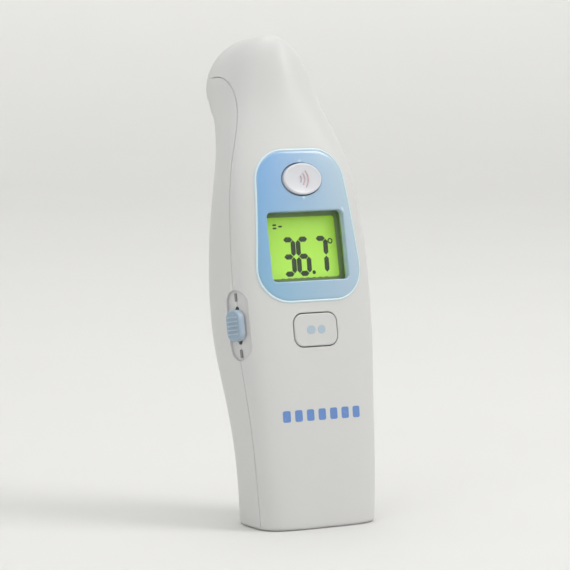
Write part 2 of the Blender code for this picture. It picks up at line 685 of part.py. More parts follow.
contact("bridge_contact", -tray_half + GAP, tray_half - GAP, 0.3 * MM, -CELL_X)
contact("positive_contact", -tray_half + GAP, -1 * MM, TRAY_LENGTH - 0.7 * MM)
contact("negative_contact", 1 * MM, tray_half - GAP, TRAY_LENGTH - 0.7 * MM, CELL_X, -1)

# Sensor end.
turned(
    "sensor_ring",
    [
        (7.4, 1.3),
        (7.6, 1.1),
        (7.6, 0.3),
        (6.2, 0.3),
        (6.2, -4.0),
        (4.4, -4.0),
        (4.8, -1.6),
        (5.6, 1.3),
    ],
    BLACK,
    SENSOR @ Matrix.Scale(MM, 4),
    36,
)
turned(
    "sensor_cup",
    [(6.6, -4.3), (6.6, -12.0), (4.9, -12.0), (4.9, -4.3)],
    SENSOR_METAL,
    SENSOR @ Matrix.Scale(MM, 4),
    32,
)
turned(
    "sensor_can",
    [(0, -6.4), (3.7, -6.4), (4.1, -6.8), (4.1, -11.0), (4.6, -11.0), (4.6, -11.7), (0, -11.7)],
    STEEL,
    SENSOR @ Matrix.Scale(MM, 4),
    28,
)
box("sensor_board", (-7 * MM, -13.3 * MM, -6.5 * MM), (7 * MM, -12.3 * MM, 6.5 * MM), BOARD, SENSOR)


# Screws.
def screw(name, x, z, seat, length, frame):
    """A pan-head screw along y: the head stands behind the seat and the shank runs towards the front."""
    head = Matrix.Translation((x, 0, z))
    profile = [
        (0, seat + 1.6 * MM),
        (0.7 * SCREW_HEAD_R, seat + 1.6 * MM),
        (SCREW_HEAD_R, seat + 1.1 * MM),
        (SCREW_HEAD_R, seat),
        (SCREW_R, seat),
        (SCREW_R, seat - length + 0.6 * MM),
        (0.4 * SCREW_R, seat - length),
        (0, seat - length),
    ]
    made = turned(name, profile, STEEL, frame @ head, 16)
    slots = [
        box(
            f"{name}_slot_{i}",
            (-w, seat + 0.8 * MM, -h),
            (w, seat + 3 * MM, h),
            frame=frame @ head,
        )
        for i, (w, h) in enumerate(((0.25 * MM, 1.1 * MM), (1.1 * MM, 0.25 * MM)))
    ]
    boolean(made, "DIFFERENCE", *slots)


for side, x in (("left", -1), ("right", 1)):
    screw(f"shell_screw_{side}", x * SHELL_SCREW_X, SHELL_SCREW_Z, 17.3 * MM, 9 * MM, DISPLAY)
    screw(f"tray_screw_{side}", x * TRAY_SCREW_X, TRAY_SCREW_Z, 0.2 * MM, 8 * MM, BAY)
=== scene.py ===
"""Upright non-contact thermometer, dressed for close viewing. Metres, +Z up, display facing -Y."""

import math

import bmesh
import bpy
import numpy as np
from mathutils import Matrix, Vector
from mathutils.bvhtree import BVHTree


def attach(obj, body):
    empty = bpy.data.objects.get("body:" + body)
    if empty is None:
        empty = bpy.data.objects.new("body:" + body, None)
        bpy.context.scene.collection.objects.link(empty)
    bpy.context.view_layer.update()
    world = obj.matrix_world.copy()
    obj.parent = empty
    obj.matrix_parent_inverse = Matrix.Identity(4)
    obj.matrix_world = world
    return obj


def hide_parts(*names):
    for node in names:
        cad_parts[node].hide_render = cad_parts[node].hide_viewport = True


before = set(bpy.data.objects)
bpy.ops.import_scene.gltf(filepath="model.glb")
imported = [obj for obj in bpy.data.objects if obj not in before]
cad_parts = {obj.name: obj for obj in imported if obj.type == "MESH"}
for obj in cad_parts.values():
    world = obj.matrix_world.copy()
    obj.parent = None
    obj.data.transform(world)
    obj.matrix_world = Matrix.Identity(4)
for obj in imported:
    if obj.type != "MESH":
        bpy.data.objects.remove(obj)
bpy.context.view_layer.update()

MM = 0.001


def mm(*values):
    return tuple(value * MM for value in values)


# Body sections from the base to the sensor end, in millimetres: front (y, z), back (y, z), half width,
# how square the front is, and the share of the depth where the section is widest.
SECTIONS = (
    (-12.5, 0.0, 16.5, 0.0, 20.5, 4.0, 0.42),
    (-11.0, 18.0, 17.0, 18.0, 21.5, 4.0, 0.42),
    (-9.0, 36.0, 22.0, 36.0, 22.5, 4.0, 0.42),
    (-6.5, 54.0, 28.0, 53.0, 24.0, 4.0, 0.42),
    (-3.5, 72.0, 30.5, 69.0, 24.5, 4.0, 0.42),
    (0.0, 90.0, 30.5, 84.0, 24.0, 4.0, 0.42),
    (4.0, 107.0, 29.5, 97.0, 22.5, 3.7, 0.43),
    (8.5, 122.0, 29.8, 107.0, 20.0, 2.5, 0.48),
    (12.5, 135.0, 32.5, 114.0, 17.8, 1.8, 0.55),
    (16.5, 145.5, 36.2, 118.5, 16.3, 1.7, 0.57),
    (23.0, 150.0, 39.3, 121.3, 15.4, 1.7, 0.57),
    (32.5, 148.5, 40.3, 124.0, 14.3, 1.9, 0.55),
)
WIDEST, FRONT_POWER, BACK_POWER = 0.42, 4.0, 2.6
BASE_EDGE, HEAD_EDGE = mm(1.2, 4.0)
SKIN = 0.05 * MM  # the shells stand this far inside the solid's own skin
WALL, GAP, SEAM = 2.2 * MM, 0.3 * MM, 0.2

DISPLAY_HEIGHT, DISPLAY_TILT = 92 * MM, math.radians(12)
BEZEL_CORNER, BEZEL_LOW, BEZEL_HIGH = mm(10, -23.1, 23.5)
BEZEL_LOW_HALF, BEZEL_HIGH_HALF = mm(18.0, 15.5)
BEZEL_PROUD = 0.5 * MM
OPENING_W, OPENING_H, OPENING_CORNER, OPENING_AT = mm(27, 21.4, 1.6, -6.3)
MEASURE_AT, MEASURE_W, MEASURE_H = mm(14.3, 13.4, 9.8)
SET_AT, SET_W, SET_H, SET_CORNER = mm(-32.1, 15, 10, 3)
SLIDER_HEIGHT = 62.5 * MM
POCKET_W, POCKET_H, POCKET_DEEP = mm(8.4, 21.4, 1.2)
KNOB_W, KNOB_H, KNOB_PROUD = mm(6.0, 9.6, 1.5)
CELL_R, CELL_BODY, CELL_NUB, CELL_X = mm(5.25, 43.3, 1.2, 6.0)
DOOR_HALF, DOOR_LOW, DOOR_HIGH, DOOR_CORNER, DOOR_WALL = mm(19, 10, 68, 4, 1.8)
TRAY_LENGTH = 48.4 * MM
TRAY_SCREW_X, TRAY_SCREW_Z = mm(16.2, 31)
SHELL_SCREW_X, SHELL_SCREW_Z = mm(15.2, 10.5)


# ---------------------------------------------------------------- node trees


class Signal:
    """A node's output. Arithmetic on it adds Math nodes to its tree."""

    def __init__(self, tree, socket):
        self.tree, self.socket = tree, socket

    def math(self, operation, first, second=0.0):
        return self.tree.node("ShaderNodeMath", {"operation": operation}, {0: first, 1: second})

    def __add__(self, other):
        return self.math("ADD", self, other)

    def __sub__(self, other):
        return self.math("SUBTRACT", self, other)

    def __rsub__(self, other):
        return self.math("SUBTRACT", other, self)

    def __mul__(self, other):
        return self.math("MULTIPLY", self, other)

    def __truediv__(self, other):
        return self.math("DIVIDE", self, other)

    def __lt__(self, other):
        return self.math("LESS_THAN", self, other)

    def __gt__(self, other):
        return self.math("GREATER_THAN", self, other)

    def __abs__(self):
        return self.math("ABSOLUTE", self)

    def clipped(self):
        return self.math("MINIMUM", self.math("MAXIMUM", self, 0.0), 1.0)

    __radd__ = __add__


class Tree:
    """A shader or geometry tree, filled by one method."""

    def __init__(self, tree):
        self.tree = tree

    def node(self, kind, settings=None, sockets=None, output=0):
        made = self.tree.nodes.new(kind)
        for key, value in (settings or {}).items():
            setattr(made, key, value)
        for key, value in (sockets or {}).items():
            if isinstance(value, Signal):
                self.tree.links.new(value.socket, made.inputs[key])
            else:
                made.inputs[key].default_value = value
        return Signal(self, made.outputs[output])


class Paint(Tree):
    """A material whose shader is filled from signals."""

    def __init__(self, name):
        self.material = bpy.data.materials.new(name)
        self.material.use_nodes = True
        super().__init__(self.material.node_tree)
        self.shader = self.tree.nodes["Principled BSDF"]
        self.place = self.node("ShaderNodeTexCoord", output="Object")

    def noise(self, scale, detail=2.0, roughness=0.5, stretch=(1, 1, 1)):
        place = self.place
        if stretch != (1, 1, 1):
            place = self.node("ShaderNodeMapping", sockets={"Vector": place, "Scale": stretch})
        return self.node(
            "ShaderNodeTexNoise",
            sockets={"Vector": place, "Scale": scale, "Detail": detail, "Roughness": roughness},
        )

    def along(self, axis):
        return self.node("ShaderNodeSeparateXYZ", sockets={0: self.place}, output=axis)

    def edges(self):
        """Two masks: how far a spot stands out as an edge, and how far it sits in a hollow, where
        creases get painted shade.
        """
        sharp = self.node("ShaderNodeNewGeometry", output="Pointiness")
        return ((sharp - 0.52) * 14).clipped(), ((0.478 - sharp) * 14).clipped()

    def blend(self, share, first, second):
        def colour(value):
            return value if isinstance(value, Signal) else (*value, 1)

        return self.node(
            "ShaderNodeMix",
            {"data_type": "RGBA"},
            {0: share, 6: colour(first), 7: colour(second)},
            output=2,
        )

    def set(self, **inputs):
        for key, value in inputs.items():
            socket = self.shader.inputs[key.replace("_", " ")]
            if isinstance(value, Signal):
                self.tree.links.new(value.socket, socket)
            else:
                socket.default_value = (*value, 1) if isinstance(value, tuple) else value
        return self

    def bump(self, height, strength, distance=0.05 * MM):
        normal = self.node(
            "ShaderNodeBump", sockets={"Height": height, "Strength": strength, "Distance": distance}
        )
        return self.set(Normal=normal)


def shade(colour, factor):
    return tuple(min(1.0, c * factor) for c in colour)


def moulded(
    name,
    colour,
    roughness,
    metallic=0.0,
    grain=2600,
    depth=0.12,
    cloud=0.03,
    edge_wear_and_highlight=0.35,
    coat=0.0,
    base=None,
):
    """A moulded or machined surface: fine grain, faint clouding, paler edges, and rougher creases
    painted darker as painted shade.
    The paler edges are worn by rubbing, and at a high share, as on the bezel, a painted rim highlight.
    Its colour may come from a function of the paint and its clouds."""
    paint = Paint(name)
    grains = paint.noise(grain, 3)
    clouds = paint.noise(55, 4, 0.6)
    rubs = paint.noise(420, 3, 0.7)
    edge, crease_shade = paint.edges()
    edge = (edge * (0.35 + rubs)).clipped() * edge_wear_and_highlight
    if base is None:
        base = paint.blend(clouds, shade(colour, 1 - cloud), shade(colour, 1 + cloud))
    else:
        base = base(paint, clouds)
    # Creases painted darker: painted shade.
    base = paint.blend(crease_shade * 0.35, base, shade(colour, 0.55))
    # Edges painted paler: worn by rubbing, and at a high share, as on the bezel, a painted rim
    # highlight.
    base = paint.blend(edge, base, tuple(c + (1 - c) * 0.45 for c in colour))
    dull = roughness + (clouds - 0.5) * 0.12 + (grains - 0.5) * 0.08 + crease_shade * 0.15 - edge * 0.1
    paint.set(Base_Color=base, Roughness=dull.clipped(), Metallic=metallic, Coat_Weight=coat)
    paint.shader.inputs["Coat Roughness"].default_value = 0.08
    paint.bump(grains * 0.6 + rubs * 0.4, depth)
    return paint.material


def bezel_colour_and_painted_reflection(paint, clouds):
    """Sky blue, painted paler towards the right and most at the upper right as a painted reflection of
    the key light; deeper towards the upper left and milkier low down.
    """
    height = ((paint.along("Z") - 0.069) / 0.046).clipped()
    # Left to right share: the painted reflection grows towards the right.
    across = ((paint.along("X") + 0.018) / 0.036).clipped()
    low = paint.blend(across, (0.22, 0.43, 0.60), (0.40, 0.52, 0.64))
    high = paint.blend(across, (0.17, 0.38, 0.72), (0.46, 0.58, 0.66))
    return paint.blend((height + (clouds - 0.5) * 0.15).clipped(), low, high)


def lcd_colour_with_painted_shade(paint, clouds):
    """Backlit lime, painted darker towards the top as painted shade under the recess walls, brighter
    low down.
    """
    height = ((paint.along("Z") - 0.0735) / 0.023).clipped()
    # Darker high up: painted shade.
    lit = paint.blend(height, (0.38, 0.68, 0.09), (0.24, 0.46, 0.025))
    return paint.blend(clouds * 0.25, lit, (0.28, 0.52, 0.05))


def jacket_colour(paint, clouds):
    """A printed sleeve: dark blue, with a plain pale band."""
    height = paint.along("Z")
    band = (height > 0.034) * (height < 0.040)
    sleeve = paint.blend(clouds, (0.035, 0.10, 0.30), (0.05, 0.13, 0.36))
    return paint.blend(band, sleeve, (0.62, 0.64, 0.66))


WHITE = moulded("shell_plastic", (0.62, 0.622, 0.618), 0.42, depth=0.16, cloud=0.018, edge_wear_and_highlight=0.3)
DOOR_WHITE = moulded("door_plastic", (0.61, 0.612, 0.608), 0.45, depth=0.2, cloud=0.02, edge_wear_and_highlight=0.35)
# Bezel: its colour holds a painted reflection, and its high edge share paints a pale rim highlight.
BLUE = moulded(
    "bezel_gloss", (0.36, 0.56, 0.74), 0.24, depth=0.03, edge_wear_and_highlight=0.75, coat=0.6, base=bezel_colour_and_painted_reflection
)
MEASURE = moulded("measure_cap", (0.66, 0.67, 0.71), 0.3, depth=0.05, cloud=0.02, edge_wear_and_highlight=0.5, coat=0.25)
SET = moulded("set_cap", (0.60, 0.602, 0.60), 0.4, depth=0.12, cloud=0.02, edge_wear_and_highlight=0.35)
KNOB = moulded("knob_plastic", (0.30, 0.40, 0.50), 0.4, depth=0.1, edge_wear_and_highlight=0.6)
BLACK = moulded("black_plastic", (0.022, 0.022, 0.025), 0.5, depth=0.25, cloud=0.15, edge_wear_and_highlight=0.15)
CHIP = moulded("chip_resin", (0.018, 0.018, 0.02), 0.62, grain=5200, depth=0.3, cloud=0.2, edge_wear_and_highlight=0.1)
RUBBER = moulded(
    "contact_rubber", (0.10, 0.10, 0.11), 0.85, grain=3800, depth=0.3, cloud=0.1, edge_wear_and_highlight=0.1
)
STEEL = moulded("plated_steel", (0.62, 0.62, 0.61), 0.28, 1.0, depth=0.1, cloud=0.06, edge_wear_and_highlight=0.3)
SPRING = moulded("spring_wire", (0.66, 0.64, 0.58), 0.24, 1.0, depth=0.06, cloud=0.05, edge_wear_and_highlight=0.3)
CUP = moulded("polished_cup", (0.76, 0.74, 0.70), 0.16, 1.0, depth=0.04, cloud=0.05, edge_wear_and_highlight=0.2)
CAN = moulded("sensor_can_metal", (0.66, 0.66, 0.66), 0.22, 1.0, depth=0.05, cloud=0.05, edge_wear_and_highlight=0.3)
FILTER = moulded(
    "filter_glass", (0.03, 0.028, 0.045), 0.08, depth=0.01, cloud=0.2, edge_wear_and_highlight=0.1, coat=0.8
)
BOARD = moulded(
    "board_lacquer", (0.02, 0.13, 0.055), 0.36, depth=0.15, cloud=0.15, edge_wear_and_highlight=0.2, coat=0.3
)
SOLDER = moulded("solder", (0.60, 0.60, 0.58), 0.3, 1.0, depth=0.2, cloud=0.1, edge_wear_and_highlight=0.1)
DIFFUSER = moulded("light_guide", (0.72, 0.76, 0.70), 0.38, depth=0.05, cloud=0.03)
JACKET = moulded(
    "cell_sleeve", (0.045, 0.12, 0.34), 0.32, depth=0.04, edge_wear_and_highlight=0.2, coat=0.3, base=jacket_colour
)
LCD = moulded("backlit_panel", (0.34, 0.56, 0.09), 0.3, depth=0.03, edge_wear_and_highlight=0.0, base=lcd_colour_with_painted_shade)
INK = moulded("segment_ink", (0.012, 0.035, 0.002), 0.45, depth=0.02, edge_wear_and_highlight=0.0)
# Dark green display frame: a printed border, its dark green also painted shade for the recess walls.
BORDER_AND_WALL_SHADE = moulded("border_ink", (0.17, 0.27, 0.10), 0.5, depth=0.04, edge_wear_and_highlight=0.0)
# Dark grey for the slider's narrow slits: painted shade.
SLIT_SHADE = moulded("track_grey", (0.16, 0.16, 0.165), 0.5, depth=0.1, cloud=0.08, edge_wear_and_highlight=0.2)
# A pale bead round the bezel: its paleness is a painted rim highlight.
RIM_HIGHLIGHT = moulded("bezel_edge_lip", (0.60, 0.75, 0.80), 0.22, depth=0.03, cloud=0.03, edge_wear_and_highlight=0.3, coat=0.5)
MARK_BLUE = moulded("mark_blue", (0.13, 0.25, 0.55), 0.4, depth=0.08, cloud=0.08, edge_wear_and_highlight=0.25)
MARK_GREY = moulded("mark_grey_blue", (0.40, 0.50, 0.58), 0.45, depth=0.08, cloud=0.05, edge_wear_and_highlight=0.2)
MARK_ROSE = moulded("mark_rose", (0.62, 0.47, 0.52), 0.45, depth=0.06, cloud=0.05, edge_wear_and_highlight=0.2)


def clear_window():
    """Thin clear plastic: see-through face on, mirror-like at a glance, with faint wiping marks."""
    paint = Paint("window_clear")
    wipes = paint.noise(260, 4, 0.7, (1, 1, 0.25))
    rim = paint.node("ShaderNodeLayerWeight", sockets={"Blend": 0.3}, output="Fresnel")
    veil = 0.01 + rim * 0.2 + (wipes - 0.5) * 0.02
    paint.set(Base_Color=(0.80, 0.88, 0.84), Roughness=0.04 + wipes * 0.05, Alpha=veil.clipped())
    paint.bump(wipes, 0.02)
    return paint.material


CLEAR = clear_window()
# The panel glows in its own colour, the painted shade at its top included.
glow = LCD.node_tree.nodes["Principled BSDF"]
lit_colour = glow.inputs["Base Color"].links[0].from_socket
LCD.node_tree.links.new(lit_colour, glow.inputs["Emission Color"])
glow.inputs["Emission Strength"].default_value = 0.5


# ---------------------------------------------------------------- body maths


def natural_spline(points, places):
    """A natural cubic spline through evenly spaced points, read at places between 0 and 1."""
    points = np.asarray(points, float)
    count = len(points)
    system = np.eye(count)
    bend = np.zeros_like(points)
    for i in range(1, count - 1):
        system[i, i - 1 : i + 2] = 1, 4, 1
        bend[i] = 6 * (points[i + 1] - 2 * points[i] + points[i - 1])
    moment = np.linalg.solve(system, bend)
    along = np.clip(np.asarray(places, float), 0, 1) * (count - 1)
    i = np.clip(along.astype(int), 0, count - 2)
    t = (along - i)[:, None]
    curve = points[i] * (1 - t) + points[i + 1] * t
    return curve + ((1 - t) ** 3 - (1 - t)) * moment[i] / 6 + (t**3 - t) * moment[i + 1] / 6


def sections(places):
    rows = natural_spline(SECTIONS, places)
    rows[:, :5] *= MM
    return rows


def place_at_height(height):
    """How far up the body, from 0 to 1, the front line reaches a height."""
    low, high = 0.0, 0.8
    for _ in range(40):
        middle = (low + high) / 2
        low, high = (middle, high) if sections([middle])[0][1] < height else (low, middle)
    return low


def ring(section, inset, push=0.0, count=144):
    """One cross-section as evenly spaced points, inset all round and pushed along its own normal."""
    front, back = section[0:2], section[2:4]
    across = (back - front) / np.linalg.norm(back - front)
    normal = np.array([-across[1], across[0]])
    front, back = front + across * inset, back - across * inset
    front_power, widest = section[5:7]
    points = []
    for start in (0, math.pi):
        turn = np.linspace(start, start + math.pi, 400)
        cosine, sine = np.cos(turn), np.sin(turn)
        power = np.where(sine < 0, front_power, BACK_POWER)
        x = (section[4] - inset) * np.sign(cosine) * np.abs(cosine) ** (2 / power)
        depth = np.sign(sine) * np.abs(sine) ** (2 / power)
        share = np.where(depth < 0, widest * (1 + depth), widest + (1 - widest) * depth)
        yz = front + (back - front) * share[:, None] + normal * push
        line = np.column_stack((x, yz))
        walked = np.concatenate(([0], np.cumsum(np.linalg.norm(np.diff(line, axis=0), axis=1))))
        even = np.linspace(0, walked[-1], count // 2, endpoint=False)
        points.append(np.column_stack([np.interp(even, walked, line[:, k]) for k in range(3)]))
    return np.concatenate(points)


def body(inset=0.0, count=144, rows=110):
    """The closed body shape as a mesh in progress, inset by a wall."""
    base_edge = max(BASE_EDGE - inset, 0.0)
    quarter = np.radians(np.linspace(0, 90, 7))
    rings = []
    for a in quarter[:-1] if base_edge else []:
        height = inset + base_edge * (1 - math.cos(a))
        section = sections([place_at_height(max(height, 0.0))])[0]
        section[1] = section[3] = height
        rings.append(ring(section, inset + base_edge * (1 - math.sin(a)), 0, count))
    if rings:
        section = sections([0.0])[0]
        section[1] = section[3] = inset
        rings.insert(0, ring(section, inset + base_edge + 0.8 * MM, 0, count))
    start = place_at_height(inset + base_edge)
    rings += [ring(section, inset, 0, count) for section in sections(np.linspace(start, 1, rows))]
    end, head_edge = sections([1.0])[0], HEAD_EDGE - inset
    for a in quarter[1:]:
        rings.append(ring(end, inset + head_edge * (1 - math.cos(a)), head_edge * math.sin(a), count))
    rings.append(ring(end, inset + head_edge + 0.5 * MM, head_edge, count))
    return lofted(rings)


def lofted(rings, middle=None):
    """Loops joined into one closed solid, capped flat or, at the far end, drawn to a middle point."""
    bm = bmesh.new()
    loops = [[bm.verts.new(point) for point in points] for points in rings]
    count = len(rings[0])
    for lower, upper in zip(loops, loops[1:]):
        for i in range(count):
            j = (i + 1) % count
            bm.faces.new((lower[i], lower[j], upper[j], upper[i]))
    bm.faces.new(loops[0])
    if middle is None:
        bm.faces.new(loops[-1])
    else:
        tip = bm.verts.new(middle)
        for i in range(count):
            bm.faces.new((loops[-1][i], loops[-1][(i + 1) % count], tip))
    bmesh.ops.recalc_face_normals(bm, faces=bm.faces)
    return bm


def arc(x, z, radius, start, end, steps=12):
    angles = np.radians(np.linspace(start, end, steps + 1))
    return [(x + radius * math.cos(a), z + radius * math.sin(a)) for a in angles]


def divided(points, counts):
    """The same closed outline with each of its sides in a number of pieces."""
    return [
        (x0 + (x1 - x0) * i / pieces, z0 + (z1 - z0) * i / pieces)
        for (x0, z0), (x1, z1), pieces in zip(points, points[1:] + points[:1], counts)
        for i in range(pieces)
    ]


def rounded_box(width, height, corner, x=0.0, z=0.0, step=1.2 * MM):
    """A function that gives the outline grown by a length, always with as many points."""
    w, h, r = width / 2, height / 2, corner

    def outline(grow=0.0):
        points = []
        for cx, cz, turn in ((w, -h, -90), (w, h, 0), (-w, h, 90), (-w, -h, 180)):
            cx, cz = cx - math.copysign(r, cx), cz - math.copysign(r, cz)
            points += arc(x + cx, z + cz, max(r + grow, 0.02 * MM), turn, turn + 90, 8)
        return points

    plain = outline()
    counts = [max(1, int(math.dist(a, b) / step)) for a, b in zip(plain, plain[1:] + plain[:1])]
    return lambda grow=0.0: divided(outline(grow), counts)


def oval(width, height, z=0.0, steps=72):
    angles = np.linspace(0, 2 * math.pi, steps, endpoint=False)

    def outline(grow=0.0):
        w, h = width / 2 + grow, height / 2 + grow
        return [(w * math.cos(a), z + h * math.sin(a)) for a in angles]

    return outline


def bezel_outline(grow=0.0):
    """A rounded shield, narrower at the top."""
    r = BEZEL_CORNER
    low_x, high_x = BEZEL_LOW_HALF - r, BEZEL_HIGH_HALF - r
    low_z, high_z = BEZEL_LOW + r, BEZEL_HIGH - r
    lean = math.degrees(math.atan2(low_x - high_x, high_z - low_z))
    right = arc(low_x, low_z, r + grow, -90, lean) + arc(high_x, high_z, r + grow, lean, 90)
    plain = right + [(-x, z) for x, z in reversed(right)]
    right_side, top, left_side, foot = 12, 25, 38, 51
    pieces = {right_side: 20, top: 10, left_side: 20, foot: 14}
    return divided(plain, [pieces.get(i, 1) for i in range(len(plain))])


skin_body = body(SKIN)
SKIN_TREE = BVHTree.FromBMesh(skin_body)
display_y = sections([place_at_height(DISPLAY_HEIGHT)])[0][0]
DISPLAY = Matrix.Translation((0, display_y, DISPLAY_HEIGHT)) @ Matrix.Rotation(-DISPLAY_TILT, 4, "X")
BAY = Matrix.Translation(mm(0, 1, 4.3)) @ Matrix.Rotation(math.radians(-8), 4, "X")
BACK = Matrix.Rotation(math.pi, 4, "Z")
UPWARD = Matrix.Rotation(math.pi / 2, 4, "X")  # turns y to z, for a shape made flat or turned about y
SENSOR_TILT = math.atan2(7.0, 25.0)  # the sensor end leans as the last section does
last = sections([1.0])[0]
last_middle = Vector((0, (last[0] + last[2]) / 2, (last[1] + last[3]) / 2))
END_OUT = Vector((0, math.cos(SENSOR_TILT), math.sin(SENSOR_TILT)))
SENSOR = Matrix.Translation(last_middle + END_OUT * HEAD_EDGE) @ Matrix.Rotation(SENSOR_TILT, 4, "X")


def side_frame():
    """The side slider's frame: x along the front, y into the body, z up along the seam."""
    place = place_at_height(SLIDER_HEIGHT)
    depth = (WIDEST - SEAM) / WIDEST
    points = []
    for row in sections([place, place + 0.01]):
        yz = row[0:2] * (1 - SEAM) + row[2:4] * SEAM
        points.append(Vector((-row[4] * (1 - depth**FRONT_POWER) ** (1 / FRONT_POWER), *yz)))
    up = (points[1] - points[0]).normalized()
    row = sections([place])[0]
    slope = (depth ** (FRONT_POWER - 1)) / ((1 - depth**FRONT_POWER) ** (1 - 1 / FRONT_POWER))
    span = float(np.linalg.norm(row[2:4] - row[0:2])) * WIDEST
    out = Vector((-1, -slope * row[4] / span, 0))
    out = (out - up * out.dot(up)).normalized()
    turn = Matrix((up.cross(out), -out, up)).transposed().to_4x4()
    return Matrix.Translation(points[0]) @ turn


SIDE = side_frame()


# ---------------------------------------------------------------- solids on the skin

OUTSIDE = -45 * MM  # along a frame's y axis, clear of the body
RAY_START = -60 * MM
EDGE_SINK = 0.012 * MM


def skin_depth(place, x, z):
    """How far along a frame's y axis the body's skin lies behind a point of its x-z plane."""
    start = place @ Vector((x, RAY_START, z))
    hit = SKIN_TREE.ray_cast(start, place.to_3x3() @ Vector((0, 1, 0)))[0]
    if hit is None:
        hit = SKIN_TREE.find_nearest(place @ Vector((x, 0, z)))[0]
    return (place.inverted() @ hit).y


def on_skin(outline, rows, place):
    """Loops of an outline, one for each (grow, depth below the skin)."""
    return [
        [(x, skin_depth(place, x, z) + depth, z) for x, z in outline(grow)] for grow, depth in rows
    ]


def flat(outline, rows):
    """Loops of an outline, one for each (grow, y)."""
    return [[(x, y, z) for x, z in outline(grow)] for grow, y in rows]


def rim(radius, steps=5):
    """The rows of a rounded edge: out over a hole's lip with a positive radius, in over a pad's edge
    with a negative one."""
    return [
        (radius * (1 - math.cos(a)), abs(radius) * (1 - math.sin(a)) - EDGE_SINK)
        for a in np.radians(np.linspace(0, 90, steps + 1))
    ]


def shrunk(edge, share):
    """A loop drawn in towards its middle."""
    cx, cz = np.mean(edge, axis=0)
    return [(cx + (x - cx) * share, cz + (z - cz) * share) for x, z in edge]


def hole_tool(name, outline, deep, radius, place, lift=0.0, floor=None):
    """A cutter with a rounded lip that follows the skin, lifted off it by a pad's height. It goes to a
    flat depth, or to a floor that keeps its own depth below the skin."""
    lip = on_skin(outline, [(grow, depth - lift) for grow, depth in rim(radius)], place)
    far_out = flat(outline, [(radius, OUTSIDE)])
    if floor is None:
        return show(name, lofted(flat(outline, [(0.0, deep)]) + lip + far_out), None, place)
    edge = outline(0.0)
    loops = [
        [(x, skin_depth(place, x, z) + floor, z) for x, z in shrunk(edge, share)]
        for share in (0.1, 0.3, 0.5, 0.7, 0.85, 0.95)
    ]
    loops += on_skin(outline, [(0.0, floor - 0.12 * MM)], place)
    return show(name, lofted(loops + lip + far_out), None, place)


def pad(name, outline, foot, lift, radius, paint, place, follow=True, dish=0.0, loops_across=9):
    """A pad with a rounded edge, its face lifted off the skin (or flat) and dished in the middle."""

    def face(x, z):
        return skin_depth(place, x, z) if follow else 0.0

    rows = [(0.0, foot)] + [(grow, depth - lift) for grow, depth in rim(-radius)]
    loops = [[(x, face(x, z) + depth, z) for x, z in outline(grow)] for grow, depth in rows]
    edge = outline(-radius)
    for share in np.linspace(0.97, 0.04, loops_across):
        sink = dish * (1 - share**2) - lift
        loops.append([(x, face(x, z) + sink, z) for x, z in shrunk(edge, share)])
    cx, cz = np.mean(edge, axis=0)
    return show(name, lofted(loops, (cx, face(cx, cz) + dish - lift, cz)), paint, place)


def prism(name, outline, start, end, paint=None, place=Matrix(), grow=0.0):
    return show(name, lofted(flat(outline, [(grow, start), (grow, end)])), paint, place)


# ---------------------------------------------------------------- objects


def linked(name, data):
    obj = bpy.data.objects.new(name, data)
    bpy.context.scene.collection.objects.link(obj)
    return obj


def show(name, shape, paint=None, place=Matrix(), angle=35):
    """Adds an object from a mesh in progress, its place put into its vertices."""
    mesh = bpy.data.meshes.new(name)
    shape.to_mesh(mesh)
    shape.free()
    mesh.transform(place)
    if paint:
        mesh.materials.append(paint)
    smooth(mesh, angle)
    return linked(name, mesh)


def smooth(mesh, angle=35):
    mesh.shade_smooth()
    mesh.set_sharp_from_angle(angle=math.radians(angle))


def applied(obj):
    """Replaces an object's mesh with what its modifiers make of it, and returns that mesh."""
    graph = bpy.context.evaluated_depsgraph_get()
    made = bpy.data.meshes.new_from_object(obj.evaluated_get(graph))
    obj.modifiers.clear()
    obj.data = made
    return made


def carve(obj, operation, *tools, keep=None):
    """Applies Booleans and removes the tools, apart from one to keep."""
    for tool in tools:
        step = obj.modifiers.new("carve", "BOOLEAN")
        step.operation, step.solver, step.object = operation, "EXACT", tool
    smooth(applied(obj))
    for tool in tools:
        if tool != keep:
            bpy.data.objects.remove(tool)
    return obj


def rod(name, radius, start, end, x=0.0, z=0.0, place=Matrix(), paint=None, sides=48):
    angles = np.linspace(0, 2 * math.pi, sides, endpoint=False)
    outline = [(x + radius * math.cos(a), z + radius * math.sin(a)) for a in angles]
    return prism(name, lambda grow: outline, start, end, paint, place)


def block(name, low, high, place=Matrix(), paint=None, edge=0.0):
    """A box between two corners, with softened edges."""
    bm = bmesh.new()
    bmesh.ops.create_cube(bm, size=1)
    low, high = Vector(low), Vector(high)
    bmesh.ops.scale(bm, vec=high - low, verts=bm.verts)
    bmesh.ops.translate(bm, vec=(low + high) / 2, verts=bm.verts)
    if edge:
        bmesh.ops.bevel(bm, geom=bm.edges[:], offset=edge, segments=3, profile=0.5, affect="EDGES")
    return show(name, bm, paint, place)


def lathe(name, profile, paint, place, steps=96):
    """A (radius, height) profile turned about the frame's y axis; a point at radius 0 closes an end."""
    angles = np.linspace(0, 2 * math.pi, steps, endpoint=False)
    bm = bmesh.new()
    loops = []
    for r, h in profile:
        if r == 0:
            loops.append([bm.verts.new((0, h, 0))] * steps)
        else:
            loops.append([bm.verts.new((r * math.cos(a), h, r * math.sin(a))) for a in angles])
    if profile[0][0]:
        loops.append(loops[0])
    for one, two in zip(loops, loops[1:]):
        for i in range(steps):
            j = (i + 1) % steps
            corners = list(dict.fromkeys((one[i], one[j], two[j], two[i])))
            if len(corners) > 2:
                bm.faces.new(corners)
    bmesh.ops.recalc_face_normals(bm, faces=bm.faces)
    return show(name, bm, paint, place)


